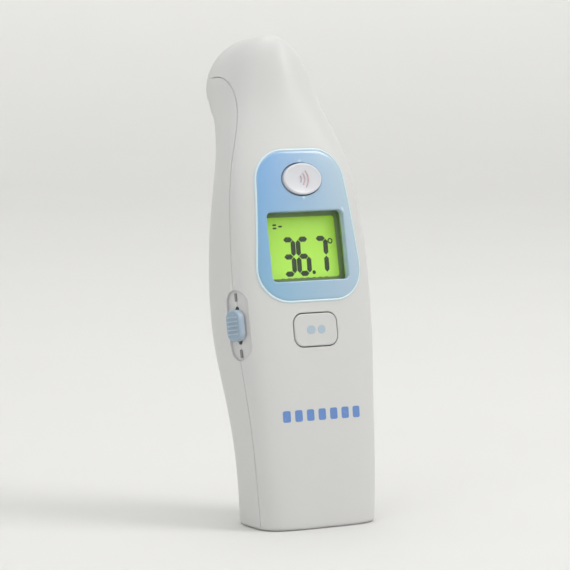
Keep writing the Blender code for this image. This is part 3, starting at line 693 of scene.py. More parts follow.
def joined(name, *parts):
    """Several finished objects as one, keeping each part's material."""
    bm = bmesh.new()
    materials = []
    for part in parts:
        offset = len(materials)
        first = len(bm.faces)
        bm.from_mesh(part.data)
        bm.faces.ensure_lookup_table()
        for face in bm.faces[first:]:
            face.material_index += offset
        materials += list(part.data.materials)
        bpy.data.objects.remove(part)
    obj = show(name, bm)
    for material in materials:
        obj.data.materials.append(material)
    return obj


def softened(node, paint, width, segments=2, angle=40):
    """A copy of a solid with its edges rounded over."""
    bm = bmesh.new()
    bm.from_mesh(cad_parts[node].data)
    bmesh.ops.remove_doubles(bm, verts=bm.verts, dist=1e-6)
    bmesh.ops.dissolve_limit(bm, angle_limit=math.radians(1), verts=bm.verts, edges=bm.edges)
    obj = show(node + "_finished", bm, paint)
    bevel = obj.modifiers.new("edges", "BEVEL")
    bevel.width, bevel.segments, bevel.limit_method = width, segments, "ANGLE"
    bevel.angle_limit, bevel.harden_normals, bevel.use_clamp_overlap = math.radians(angle), True, True
    smooth(applied(obj))
    return obj


def skin_normals(obj, source):
    """Gives faces that lie on an uncut shape its smooth normals, so that cuts leave no dents."""
    most_gap, least_match = 0.02 * MM, 0.94
    tree = BVHTree.FromBMesh(source)
    source.faces.ensure_lookup_table()
    source.normal_update()
    mesh = obj.data
    normals = [(0.0, 0.0, 0.0)] * len(mesh.loops)
    found = {}
    for face in mesh.polygons:
        for loop in face.loop_indices:
            index = mesh.loops[loop].vertex_index
            if index not in found:
                spot, _, where, gap = tree.find_nearest(mesh.vertices[index].co)
                if gap > most_gap:
                    found[index] = None
                else:
                    near = source.faces[where].verts
                    weights = [1 / ((v.co - spot).length + 1e-7) for v in near]
                    total = sum((v.normal * w for v, w in zip(near, weights)), Vector())
                    found[index] = total.normalized()
            if found[index] is not None and found[index].dot(face.normal) > least_match:
                normals[loop] = tuple(found[index])
    mesh.normals_split_custom_set(normals)


def finish(piece, body_name, slot_name, *nodes):
    """Makes a piece ride on its body and stand for its solids, which it hides; its slot name is not
    used.
    """
    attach(piece, body_name)
    if nodes:
        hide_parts(*nodes)


# ---------------------------------------------------------------- geometry trees


def geometry_tree(name, **inputs):
    """An empty Geometry Nodes tree that also takes a paint, and the signals of its named inputs."""
    group = bpy.data.node_groups.new(name, "GeometryNodeTree")
    group.interface.new_socket("Geometry", in_out="INPUT", socket_type="NodeSocketGeometry")
    for label, kind in {**inputs, "Paint": "Material"}.items():
        group.interface.new_socket(label, in_out="INPUT", socket_type="NodeSocket" + kind)
    group.interface.new_socket("Geometry", in_out="OUTPUT", socket_type="NodeSocketGeometry")
    tree = Tree(group)
    entry = group.nodes.new("NodeGroupInput")
    return tree, {socket.name: Signal(tree, socket) for socket in entry.outputs if socket.name}


def end_tree(tree, geometry, paint):
    real = tree.node("GeometryNodeRealizeInstances", sockets={0: geometry})
    painted = tree.node("GeometryNodeSetMaterial", sockets={"Geometry": real, "Material": paint})
    leave = tree.tree.nodes.new("NodeGroupOutput")
    tree.tree.links.new(painted.socket, leave.inputs[0])
    return tree.tree


def thickened(tree, curve, radius, sides):
    """A curve as a solid round bar."""
    section = tree.node(
        "GeometryNodeCurvePrimitiveCircle", sockets={"Resolution": sides, "Radius": radius}
    )
    bar = {"Curve": curve, "Profile Curve": section, "Fill Caps": True}
    return tree.node("GeometryNodeCurveToMesh", sockets=bar)


def repeated(tree, points, piece):
    """A piece on every point, turned about z by the point's own turn."""
    turn = tree.node("GeometryNodeInputNamedAttribute", {"data_type": "FLOAT"}, {"Name": "turn"})
    turned = tree.node("ShaderNodeCombineXYZ", sockets={"Z": turn})
    return tree.node(
        "GeometryNodeInstanceOnPoints",
        sockets={"Points": points, "Instance": piece, "Rotation": turned},
    )


def swept_tree():
    """Every chain of edges becomes a round bar."""
    tree, given = geometry_tree("swept_bars", Radius="Float", Sides="Int")
    curve = tree.node("GeometryNodeMeshToCurve", sockets={0: given["Geometry"]})
    return end_tree(tree, thickened(tree, curve, given["Radius"], given["Sides"]), given["Paint"])


def coil_tree():
    """A cone-shaped coil of wire."""
    lengths = {"Foot": "Float", "Top": "Float", "Height": "Float", "Wire": "Float"}
    tree, given = geometry_tree("coil_spring", Turns="Float", **lengths)
    coil = tree.node(
        "GeometryNodeCurveSpiral",
        sockets={
            "Resolution": 40,
            "Rotations": given["Turns"],
            "Start Radius": given["Foot"],
            "End Radius": given["Top"],
            "Height": given["Height"],
        },
    )
    return end_tree(tree, thickened(tree, coil, given["Wire"], 10), given["Paint"])


def bars_tree():
    """A flat bar with pointed ends on every point, shaped from a six-sided plate of radius 1."""
    corner_rise, end_corner = 0.8660254, 0.75
    tree, given = geometry_tree("pointed_bars", Length="Float", Width="Float", Thickness="Float")
    six = tree.node(
        "GeometryNodeMeshCylinder",
        sockets={"Vertices": 6, "Radius": 1.0, "Depth": given["Thickness"]},
    )
    spot = tree.node("GeometryNodeInputPosition")
    x, y, z = (tree.node("ShaderNodeSeparateXYZ", sockets={0: spot}, output=axis) for axis in "XYZ")
    half, thin = given["Length"] * 0.5, given["Width"] * 0.5
    reach = half - thin * (abs(x) < end_corner)
    side = x.math("SIGN", x) * reach
    rise = y / corner_rise * thin
    moved = tree.node("ShaderNodeCombineXYZ", sockets={"X": side, "Y": rise, "Z": z})
    shaped = tree.node("GeometryNodeSetPosition", sockets={"Geometry": six, "Position": moved})
    return end_tree(tree, repeated(tree, given["Geometry"], shaped), given["Paint"])


def copies_tree():
    """A copy of one object on every point."""
    tree, given = geometry_tree("piece_copies", Piece="Object")
    piece = tree.node("GeometryNodeObjectInfo", sockets={"Object": given["Piece"]}, output="Geometry")
    return end_tree(tree, repeated(tree, given["Geometry"], piece), given["Paint"])


def turned_tree():
    """A closed outline carried round a circle: x outwards from the circle, y along its axis."""
    tree, given = geometry_tree("turned_ring", Radius="Float", Steps="Int")
    outline = tree.node("GeometryNodeMeshToCurve", sockets={0: given["Geometry"]})
    circle = {"Resolution": given["Steps"], "Radius": given["Radius"]}
    rail = tree.node("GeometryNodeCurvePrimitiveCircle", sockets=circle)
    made = tree.node("GeometryNodeCurveToMesh", sockets={"Curve": rail, "Profile Curve": outline})
    return end_tree(tree, made, given["Paint"])


def grown(name, group, points, edges=(), turns=None, place=Matrix(), **inputs):
    """Runs a geometry tree on some points and keeps the result as a plain mesh."""
    mesh = bpy.data.meshes.new(name)
    mesh.from_pydata(list(points), list(edges), [])
    if turns is not None:
        mesh.attributes.new("turn", "FLOAT", "POINT").data.foreach_set("value", turns)
    obj = linked(name, mesh)
    step = obj.modifiers.new("grow", "NODES")
    step.node_group = group
    for socket in group.interface.items_tree:
        if socket.in_out == "INPUT" and socket.name in inputs:
            step[socket.identifier] = inputs[socket.name]
    made = applied(obj)
    bm = bmesh.new()
    bm.from_mesh(made)
    bmesh.ops.recalc_face_normals(bm, faces=bm.faces)
    bm.to_mesh(made)
    bm.free()
    made.transform(place)
    smooth(made)
    return obj


SWEPT, COIL, BARS = swept_tree(), coil_tree(), bars_tree()
COPIES, TURNED = copies_tree(), turned_tree()


def wires(name, lines, radius, sides, paint, place=Matrix(), closed=False):
    """A round bar along each of several lines."""
    points, edges = [], []
    for line in lines:
        first, count = len(points), len(line)
        joins = count if closed else count - 1
        edges += [(first + i, first + (i + 1) % count) for i in range(joins)]
        points += line
    sizes = {"Radius": radius, "Sides": sides}
    return grown(name, SWEPT, points, edges, place=place, **sizes, Paint=paint)


def copies(name, template, spots, paint, turns=None, place=Matrix()):
    """A template object on each spot."""
    turns = turns or [0.0] * len(spots)
    return grown(name, COPIES, spots, turns=turns, place=place, Piece=template, Paint=paint)


# ---------------------------------------------------------------- shells and door

FAR = 0.08  # past the body on every side
SEAM_TURNS = 0.6  # how far up the body the seam starts its way to the middle of the sensor end
SEAM_BELOW, SEAM_BEYOND = 0.02, 0.0267
SLOT_W, SLOT_H = mm(1.7, 11.6)
SENSOR_HOLE_R = 6.5 * MM
FRONT_BOSS_R, TRAY_BOSS_R, REAR_BOSS_R = mm(2.6, 2.4, 3.2)
SCREW_WELL_R, SCREW_WAY_R = mm(2.3, 1.3)
SCOOP_R, SCOOP_HALF, SCOOP_AT = 5.2 * MM, 9.2 * MM, mm(0, 34, 70.5)
TONGUE_X, TONGUE_HALF = mm(6, 2)
GRIP_RIBS, GRIP_LOW, GRIP_PITCH, GRIP_RADIUS = 6, 49.5 * MM, 2.6 * MM, 0.55 * MM


def seam_line(shift, steps=70):
    """The line where the shells meet, in (y, z), moved towards the back by a shift."""
    places = np.linspace(0, 1, steps)
    blend = np.clip((places - SEAM_TURNS) / (1 - SEAM_TURNS), 0, 1)
    share = (SEAM + (0.5 - SEAM) * blend**2 * (3 - 2 * blend))[:, None]
    rows = sections(places)
    line = rows[:, 0:2] * (1 - share) + rows[:, 2:4] * share
    heading = np.gradient(line, axis=0)
    heading /= np.linalg.norm(heading, axis=1)[:, None]
    line = line + np.column_stack((heading[:, 1], -heading[:, 0])) * shift
    ends = line[0] - (0, SEAM_BELOW), line[-1] + heading[-1] * SEAM_BEYOND
    return [tuple(p) for p in (ends[0], *line, ends[1])]


def side_prism(name, outline):
    """A cutter with a (y, z) outline, wide enough to pass right through the body."""
    bm = lofted([[(x, y, z) for y, z in outline] for x in (-FAR, FAR)])
    bmesh.ops.triangulate(bm, faces=[f for f in bm.faces if len(f.verts) > 4])
    return show(name, bm)


def seam_groove(name):
    """A fine round groove along the seam on both sides of the body."""
    middle = seam_line(0.05 * MM, 160)[1:-1]
    lines = []
    for side in (-1, 1):
        hits = [
            SKIN_TREE.ray_cast(Vector((side * 0.06, y, z)), Vector((-side, 0, 0)))[0]
            for y, z in middle
        ]
        lines.append([tuple(hit) for hit in hits if hit is not None])
    return wires(name, lines, 0.2 * MM, 10, WHITE)


def widened(outline, by):
    return lambda grow=0.0: outline(grow + by)


opening = rounded_box(OPENING_W, OPENING_H, OPENING_CORNER, z=OPENING_AT)
measure_shape = oval(MEASURE_W, MEASURE_H, MEASURE_AT)
set_shape = rounded_box(SET_W, SET_H, SET_CORNER, z=SET_AT)
door_shape = rounded_box(
    2 * DOOR_HALF, DOOR_HIGH - DOOR_LOW, DOOR_CORNER, z=(DOOR_HIGH + DOOR_LOW) / 2
)
pocket_shape = rounded_box(POCKET_W, POCKET_H, POCKET_W / 2 - 0.1 * MM)
knob_shape = rounded_box(KNOB_W, KNOB_H, KNOB_W / 2 - 0.4 * MM, step=0.6 * MM)
slot_shape = rounded_box(SLOT_W, SLOT_H, 0.8 * MM)

# What both shells share is cut first, then the body is hollowed and split along the seam.
front_shell = show("front_shell_moulding", skin_body.copy(), WHITE)
carve(
    front_shell,
    "DIFFERENCE",
    hole_tool("pocket", pocket_shape, 0, 0.4 * MM, SIDE, floor=POCKET_DEEP - 0.15 * MM),
    prism("slot", slot_shape, *mm(-7, 6), place=SIDE),
    rod("sensor_hole", SENSOR_HOLE_R, *mm(-8, 3), place=SENSOR, sides=72),
    seam_groove("groove"),
)
carve(front_shell, "DIFFERENCE", show("inner", body(WALL, 88, 60)))
rear_shell = linked("rear_shell_moulding", front_shell.data.copy())
behind = [(FAR, FAR * 1.85), (FAR, -FAR / 4)]
carve(front_shell, "DIFFERENCE", side_prism("behind_seam", seam_line(0.0) + behind))
boss_limit = show("boss_limit", body(WALL / 2, 64, 50))
bosses = []
for side in (-1, 1):
    x, z = side * SHELL_SCREW_X, SHELL_SCREW_Z
    upper = rod("boss", FRONT_BOSS_R, *mm(2.6, 14), x, z, DISPLAY)
    x, z = side * TRAY_SCREW_X, TRAY_SCREW_Z
    lower = rod("boss", TRAY_BOSS_R, *mm(-20, -1.9), x, z, BAY)
    bosses += [carve(boss, "INTERSECT", boss_limit, keep=boss_limit) for boss in (upper, lower)]
carve(front_shell, "UNION", *bosses)
carve(
    front_shell,
    "DIFFERENCE",
    prism("display_hole", opening, *mm(-9, 8), None, DISPLAY, GAP),
    prism("measure_hole", measure_shape, *mm(-8, 7), None, DISPLAY, GAP),
    hole_tool("set_hole", widened(set_shape, GAP), *mm(6, 0.35), DISPLAY),
)

ahead = [(FAR, FAR * 1.85), (FAR, FAR * 2.4), (-FAR, FAR * 2.4), (-FAR, -FAR / 4)]
carve(rear_shell, "DIFFERENCE", side_prism("ahead_of_seam", seam_line(0.12 * MM) + ahead))
scoop_side = [
    (SCOOP_R * math.cos(a), SCOOP_HALF * math.sin(a)) for a in np.radians(np.linspace(80, -80, 24))
]
scoop_profile = [(0, SCOOP_HALF)] + scoop_side + [(0, -SCOOP_HALF)]
scoop_place = Matrix.Translation(SCOOP_AT) @ Matrix.Rotation(math.pi / 2, 4, "Z")
carve(
    rear_shell,
    "DIFFERENCE",
    hole_tool("door_hole", widened(door_shape, GAP / 2), *mm(-5, 0.3), BACK),
    lathe("scoop", scoop_profile, None, scoop_place),
)
for side in (-1, 1):
    at = side * SHELL_SCREW_X, SHELL_SCREW_Z, DISPLAY
    boss = rod("boss", REAR_BOSS_R, *mm(14.4, 40), *at)
    carve(rear_shell, "UNION", carve(boss, "INTERSECT", boss_limit, keep=boss_limit))
    well = rod("well", SCREW_WELL_R, *mm(17, 45), *at)
    carve(rear_shell, "DIFFERENCE", well, rod("way", SCREW_WAY_R, *mm(12, 20), *at))
bpy.data.objects.remove(boss_limit)

battery_door = show("battery_door_moulding", skin_body.copy(), DOOR_WHITE)
carve(battery_door, "DIFFERENCE", show("door_inside", body(DOOR_WALL, 88, 60)))
door_keeper = hole_tool("keeper", widened(door_shape, -GAP / 2), *mm(-5.3, -0.3), BACK)
carve(battery_door, "INTERSECT", door_keeper)
door_middle = show("door_middle", body(1.0 * MM, 64, 50))
for side in (-1, 1):
    x = side * CELL_X
    low = (x - 0.7 * MM, CELL_R + 0.6 * MM, 14 * MM)
    rib = block("rib", low, (x + 0.7 * MM, *mm(30, 44)), BAY)
    carve(rib, "INTERSECT", door_middle, keep=door_middle)
    left, right = side * TONGUE_X - TONGUE_HALF, side * TONGUE_X + TONGUE_HALF
    tongue = block("tongue", (left, *mm(11.9, 7)), (right, *mm(12.8, 13.4)))
    foot = block("foot", (left, *mm(12.4, 11.6)), (right, *mm(15.3, 13.4)))
    carve(battery_door, "UNION", rib, tongue, foot)
bpy.data.objects.remove(door_middle)

for shell in (front_shell, rear_shell, battery_door):
    skin_normals(shell, skin_body)
finish(front_shell, "housing", "white_shell", "front_shell")
finish(rear_shell, "housing", "white_shell", "rear_shell")
finish(battery_door, "battery_door", "white_shell", "battery_door")

grip_lines = []
for k in range(GRIP_RIBS):
    z = GRIP_LOW + k * GRIP_PITCH
    half = (9.5 - 0.5 * abs(k - (GRIP_RIBS - 1) / 2)) * MM
    spots = [(x, skin_depth(BACK, x, z) + 0.05 * MM, z) for x in np.linspace(-half, half, 25)]
    grip_lines.append([tuple(BACK @ Vector(spot)) for spot in spots])
grip = wires("door_grip_ribs", grip_lines, GRIP_RADIUS, 12, DOOR_WHITE)
finish(grip, "battery_door", "white_shell")

# ---------------------------------------------------------------- bezel and buttons

BUTTON_STEM_R = 2 * MM

shape = bezel_outline, 1.1 * MM, BEZEL_PROUD, 0.75 * MM
bezel = pad("bezel_moulding", *shape, BLUE, DISPLAY, loops_across=32)
uncut = bmesh.new()
uncut.from_mesh(bezel.data)
carve(
    bezel,
    "DIFFERENCE",
    hole_tool("opening", opening, *mm(6, 0.55), DISPLAY, BEZEL_PROUD),
    hole_tool("button_hole", widened(measure_shape, GAP), *mm(6, 0.4), DISPLAY, BEZEL_PROUD),
)
skin_normals(bezel, uncut)
finish(bezel, "housing", "blue_bezel", "display_bezel")
# A pale bead round the bezel's rim: a painted rim highlight.
highlight_line = [(x, skin_depth(DISPLAY, x, z) + 0.05 * MM, z) for x, z in bezel_outline(0.12 * MM)]
lip = wires("bezel_lip", [highlight_line], 0.42 * MM, 12, RIM_HIGHLIGHT, DISPLAY, closed=True)
finish(lip, "housing", "blue_bezel")

measure_button = joined(
    "measure_button_cap",
    pad("cap", measure_shape, *mm(3.6, 1.08, 0.5), MEASURE, DISPLAY, False, 0.35 * MM),
    prism("under", widened(measure_shape, 1.15 * MM), *mm(3.4, 4.2), MEASURE, DISPLAY),
    rod("stem", BUTTON_STEM_R, *mm(3.8, 5.2), 0, MEASURE_AT, DISPLAY, MEASURE),
)
finish(measure_button, "measure_button", "button_lilac", "measure_button")
waves = [arc(-1.9 * MM, MEASURE_AT, r * MM, -42, 42, 14) for r in (1.5, 2.7, 3.9)]
waves = [[(x, -0.86 * MM - 0.02 * abs(x), z) for x, z in line] for line in waves]
measure_mark = wires("measure_button_mark", waves, 0.22 * MM, 8, MARK_ROSE, DISPLAY)
finish(measure_mark, "measure_button", "button_lilac")

set_top = widened(set_shape, -0.02 * MM)
set_button = joined(
    "set_button_cap",
    pad("cap", set_top, *mm(4, 0.16, 0.4), SET, DISPLAY, True, 0.05 * MM),
    prism("under", widened(set_shape, 0.95 * MM), *mm(3.7, 4.5), SET, DISPLAY),
    rod("stem", BUTTON_STEM_R, *mm(4.1, 5.4), 0, SET_AT, DISPLAY, SET),
)
finish(set_button, "set_button", "white_shell", "set_button")


def marks(name, places, size, corner, z, foot, lift, edge, paint, step):
    """Small flat marks on the skin, at an (x, width) each, in millimetres."""
    made = []
    for x, width in places:
        shape = rounded_box(width * MM, size, corner, x * MM, z, step)
        made.append(pad("mark", shape, foot, lift, edge, paint, DISPLAY))
    return joined(name, *made)


dots = ((-1.7, 3.0), (2.0, 2.6))
shape = *mm(2.6, 1.2), SET_AT, *mm(0, 0.2, 0.08)
set_mark = marks("set_button_mark", dots, *shape, MARK_GREY, 0.5 * MM)
finish(set_mark, "set_button", "slider_blue")
stripes = [(x, 2.6) for x in (-12.2, -8.1, -4.0, 0.1, 4.2, 8.3, 12.4)]
shape = mm(3.5, 0.6, -58, 0.2, 0.05, 0.04)
handle_mark = marks("handle_mark", stripes, *shape, MARK_BLUE, 0.6 * MM)
finish(handle_mark, "housing", "slider_blue")

# ---------------------------------------------------------------- slider

KNOB_FACE = KNOB_PROUD - 0.1 * MM
xs = np.linspace(-2.1, 2.1, 9) * MM
knob_lines = [[(x, -1.28 * MM, z * MM) for x in xs] for z in (-2.6, -1.3, 0, 1.3, 2.6)]
knob = joined(
    "mode_slider_knob",
    pad("knob", knob_shape, 0.9 * MM, KNOB_FACE, 0.55 * MM, KNOB, SIDE, False, 0.25 * MM),
    prism("stem", rounded_box(*mm(1.2, 3, 0.5)), 0, 5.1 * MM, KNOB, SIDE),
    wires("ribs", knob_lines, 0.3 * MM, 10, KNOB, SIDE),
)
finish(knob, "mode_slider", "slider_blue", "mode_slider")
# Dark grey pads at the ends of the slider's pocket, standing for its narrow slits: painted shade.
slit_shades = []
for z in (-8.6, 8.6):
    shape = rounded_box(*mm(0.9, 2.6, 0.4, 0, z, 0.5))
    slit_shades.append(prism("track", shape, *mm(0.95, 1.3), SLIT_SHADE, SIDE))
finish(joined("slider_track", *slit_shades), "housing", "black_plastic")

# ---------------------------------------------------------------- display stack

PRINT_Y, PRINT_THICK = mm(4.70, 0.06)
DIGIT_W, DIGIT_H, DIGIT_AT, LEAN = 3.5 * MM, 10.6 * MM, -9.0 * MM, 0.04
BAR_W, BAR_GAP, SMALL_BAR, SMALL_BAR_W = mm(1.6, 0.3, 1.5, 0.55)
CELLS_OF_STRIP, STRIP_PITCH = 30, 0.8


def display_block(name, width, height, start, thick, paint, z=OPENING_AT, edge=0.12 * MM):
    low = (-width / 2, start, z - height / 2)
    high = (width / 2, start + thick, z + height / 2)
    return block(name, low, high, DISPLAY, paint, edge)


window = display_block("window_plate", *mm(28.5, 22.9, 3.02, 0.76), CLEAR, edge=0.15 * MM)
finish(window, "housing", "clear_window", "display_window")
# A printed dark green frame round the display, its colour also painted shade for the recess walls.
outside = rounded_box(*mm(28.4, 22.8, 0.4), z=OPENING_AT)
inside = rounded_box(*mm(24.6, 19.0, 1.0), z=OPENING_AT)
border = prism("window_border", outside, *mm(3.84, 3.92), BORDER_AND_WALL_SHADE, DISPLAY)
carve(border, "DIFFERENCE", prism("inside", inside, *mm(2, 6), place=DISPLAY))
finish(border, "housing", "black_plastic")
panel = display_block("lcd_glass", *mm(29.9, 23.9, 4.72, 1.46), LCD)
finish(panel, "housing", "backlit_green", "lcd_panel")

# Lit bars of each digit: top, upper left, upper right, middle, lower left, lower right, bottom.
DIGITS = {"3": (1, 0, 1, 1, 0, 1, 1), "6": (1, 1, 0, 1, 1, 1, 1), "7": (1, 0, 1, 0, 0, 1, 0)}
w, h = DIGIT_W / 2, DIGIT_H / 4
BAR_PLACES = [(0, 2 * h, 0), (-w, h, 1), (w, h, 1), (0, 0, 0)]
BAR_PLACES += [(-w, -h, 1), (w, -h, 1), (0, -2 * h, 0)]
PRINT = DISPLAY @ Matrix.Translation((0, PRINT_Y, 0)) @ UPWARD
across, upright = [], []
for digit, x in (("3", -4.6), ("6", 0.7), ("7", 7.0)):
    for lit, (px, pz, stands) in zip(DIGITS[digit], BAR_PLACES):
        if lit:
            spot = (x * MM + px + pz * LEAN, DIGIT_AT + pz, 0)
            (upright if stands else across).append(spot)
small = [(x * MM, -15.9 * MM, 0) for x in (-7.4, -5.2, -3.0, -0.8, 1.4, 3.6, 5.8, 8.0)]
small += [(-8.6 * MM, 1.0 * MM, 0), (-8.6 * MM, 0.0 * MM, 0), (-6.6 * MM, 0.5 * MM, 0)]
ink = []
for name, spots, turn, length, width in (
    ("across", across, 0.0, DIGIT_W - BAR_GAP, BAR_W),
    ("upright", upright, math.pi / 2 - LEAN, DIGIT_H / 2 - BAR_GAP, BAR_W),
    ("small", small, 0.0, SMALL_BAR, SMALL_BAR_W),
):
    sizes = {"Length": length, "Width": width, "Thickness": PRINT_THICK}
    turns = [turn] * len(spots)
    ink.append(grown(name, BARS, spots, turns=turns, place=PRINT, **sizes, Paint=INK))
point = mm(3.8, -14.1)
ink.append(rod("point", *mm(0.6, 4.67, 4.73), *point, DISPLAY, INK, 20))
circle = [(x, PRINT_Y, z) for x, z in arc(*mm(10.6, -4.6, 0.7), 0, 360, 18)]
ink.append(wires("degree", [circle], 0.2 * MM, 6, INK, DISPLAY))
finish(joined("lcd_digits", *ink), "housing", "black_plastic")

finish(softened("lcd_holder", BLACK, 0.2 * MM), "housing", "black_plastic", "lcd_holder")
guide_z = OPENING_AT + 2.5 * MM
guide = display_block("light_guide", *mm(29.8, 18.9, 6.52, 1.36), DIFFUSER, guide_z)
finish(guide, "housing", "diffuser", "backlight_panel")

# Connector strip: two rubbers in alternate layers.
strip = []
strip_z = OPENING_AT - 10.5 * MM
for k, paint in enumerate((BLACK, RUBBER)):
    layer = display_block("layer", *mm(0.36, 1.96, 6.52, 2.16), paint, strip_z, 0.03 * MM)
    shift = -11.6 + STRIP_PITCH / 2 * k
    spots = [((shift + STRIP_PITCH * i) * MM, 0, 0) for i in range(CELLS_OF_STRIP - k)]
    strip.append(copies(f"strip_{k}", layer, spots, paint))
    bpy.data.objects.remove(layer)
finish(joined("connector_strip", *strip), "housing", "connector_rubber", "zebra_strip")

# ---------------------------------------------------------------- board

BOARD_BACK = 10.2 * MM + GAP
CHIP_AT, CHIP_SIZE, LEGS_A_SIDE, LEG_PITCH = -6 * MM, 8.4 * MM, 10, 0.8
BUZZER_AT, SWITCH_HALF = mm(14, 2.95)

finish(softened("main_board", BOARD, 0.1 * MM), "housing", "circuit_board", "main_board")
chip = display_block(
    "chip", CHIP_SIZE, CHIP_SIZE, BOARD_BACK + 0.1 * MM, 1.3 * MM, CHIP, CHIP_AT, 0.15 * MM
)
half_leg = Vector((0.16, 0.8, 0.3)) * MM
leg = block("leg", -half_leg, half_leg, paint=SOLDER, edge=0.08 * MM)
spots, turns = [], []
for side in range(4):
    for k in range(LEGS_A_SIDE):
        along = (k - (LEGS_A_SIDE - 1) / 2) * LEG_PITCH * MM
        turn = side * math.pi / 2
        spots.append(tuple(Matrix.Rotation(turn, 3, "Z") @ Vector((along, CHIP_SIZE / 2, 0))))
        turns.append(turn)
legs_at = DISPLAY @ Matrix.Translation((0, BOARD_BACK + 0.32 * MM, CHIP_AT)) @ UPWARD
legs = copies("legs", leg, spots, SOLDER, turns, legs_at)
bpy.data.objects.remove(leg)
finish(joined("processor_chip_legs", chip, legs), "housing", "black_plastic", "processor_chip")

buzzer_side = [(0, 0), (5.8, 0), (5.98, 0.3), (5.98, 3.0), (5.6, 3.45), (4.6, 3.45)]
buzzer_side += [(4.4, 3.25), (1.3, 3.25), (1.1, 2.2), (0, 2.2)]
profile = [(radius * MM, BOARD_BACK + height * MM) for radius, height in buzzer_side]
buzzer = lathe("buzzer_can", profile, BLACK, DISPLAY @ Matrix.Translation((0, 0, BUZZER_AT)))
finish(buzzer, "housing", "black_plastic", "buzzer")


def tact(name, z, top):
    """A push switch: black body and plunger, and a steel cover with four rivets."""
    s, cover = SWITCH_HALF, 2.8 * MM
    low, high = (-s, top + 1.1 * MM, z - s), (s, 8.65 * MM, z + s)
    parts = [block("body", low, high, DISPLAY, BLACK, 0.2 * MM)]
    low, high = (-cover, top + 1.0 * MM, z - cover), (cover, top + 1.3 * MM, z + cover)
    parts.append(block("cover", low, high, DISPLAY, STEEL, 0.1 * MM))
    round_top = oval(3.4 * MM, 3.4 * MM, z, 40)
    parts.append(pad("plunger", round_top, top + 2 * MM, -top, 0.25 * MM, BLACK, DISPLAY, False))
    profile = [mm(r, h) for r, h in ((0, 0.2), (0.3, 0.14), (0.4, 0), (0, 0))]
    rivet = lathe("rivet", profile, STEEL, UPWARD, 12)
    spots = [(x * 2.1 * MM, y * 2.1 * MM, 0) for x in (-1, 1) for y in (-1, 1)]
    at = DISPLAY @ Matrix.Translation((0, top + 1.04 * MM, z)) @ UPWARD
    parts.append(copies("rivets", rivet, spots, STEEL, place=at))
    bpy.data.objects.remove(rivet)
    finish(joined(name + "_dome", *parts), "housing", "black_plastic", name)


tact("measure_switch", MEASURE_AT, 6.0 * MM)
tact("set_switch", SET_AT, 6.2 * MM)
low, high = Vector((-18.15, 5.85, -35.45)) * MM, Vector((-13.45, 8.65, -23.55)) * MM
slide = block("slide_body", low, high, DISPLAY, STEEL, 0.3 * MM)
finish(slide, "housing", "black_plastic", "slide_switch")

# ---------------------------------------------------------------- battery bay

TRAY_HALF, TRAY_FRONT = CELL_X + CELL_R + GAP, -(CELL_R + GAP)
LEAF = 0.4 * MM

tray = softened("battery_tray", BLACK, 0.25 * MM)
finish(tray, "housing", "black_plastic", "battery_tray")


def cell(name, x, foot, up):
    """A cylindrical cell: printed sleeve rolled over both ends, raised button and flat base."""
    r, length, nub = CELL_R / MM - 0.02, CELL_BODY / MM, CELL_NUB / MM
    sleeve = [(3.9, 0.25), (4.3, 0.02), (r - 0.35, 0.0), (r, 0.4)]
    sleeve += [(radius, length - height) for radius, height in reversed(sleeve)]
    steel = [(0, 0.1), (4.1, 0.1), (4.1, length - 0.2), (2.2, length - 0.2), (1.88, length)]
    steel += [(1.86, length + nub - 0.2), (1.6, length + nub), (0, length + nub)]
    turn = UPWARD if up else UPWARD.inverted()
    place = BAY @ Matrix.Translation((x, 0, foot)) @ turn @ Matrix.Scale(MM, 4)
    parts = [lathe("sleeve", sleeve, JACKET, place, 80), lathe("steel", steel, STEEL, place, 64)]
    finish(joined(name + "_sleeved", *parts), "housing", "cell_jacket", name)


cell("battery_cell_left", -CELL_X, 2.8 * MM, True)
cell("battery_cell_right", CELL_X, 1.1 * MM + CELL_NUB + CELL_BODY, False)


def contact(node, left, right, z, spring_x=None, up=1):
    """A plated leaf and, where a flat base presses, a cone-shaped coil."""
    low, high = (left, TRAY_FRONT + GAP, z), (right, 1.2 * MM, z + LEAF)
    parts = [block("leaf", low, high, BAY, STEEL, 0.1 * MM)]
    if spring_x is not None:
        at = BAY @ Matrix.Translation((spring_x, -1 * MM, z + LEAF / 2 + up * 0.15 * MM))
        if up < 0:
            at = at @ Matrix.Rotation(math.pi, 4, "X")
        sizes = {"Foot": 3.2 * MM, "Top": 1.8 * MM, "Height": 1.65 * MM, "Wire": 0.22 * MM}
        coil = grown("coil", COIL, [(0, 0, 0)], place=at, Turns=2.6, **sizes, Paint=SPRING)
        parts.append(coil)
    finish(joined(node + "_leaf", *parts), "housing", "steel", node)


top_leaf = TRAY_LENGTH - 0.7 * MM
contact("bridge_contact", -TRAY_HALF + GAP, TRAY_HALF - GAP, 0.3 * MM, -CELL_X)
contact("positive_contact", -TRAY_HALF + GAP, -1 * MM, top_leaf)
contact("negative_contact", 1 * MM, TRAY_HALF - GAP, top_leaf, CELL_X, -1)

# ---------------------------------------------------------------- sensor end

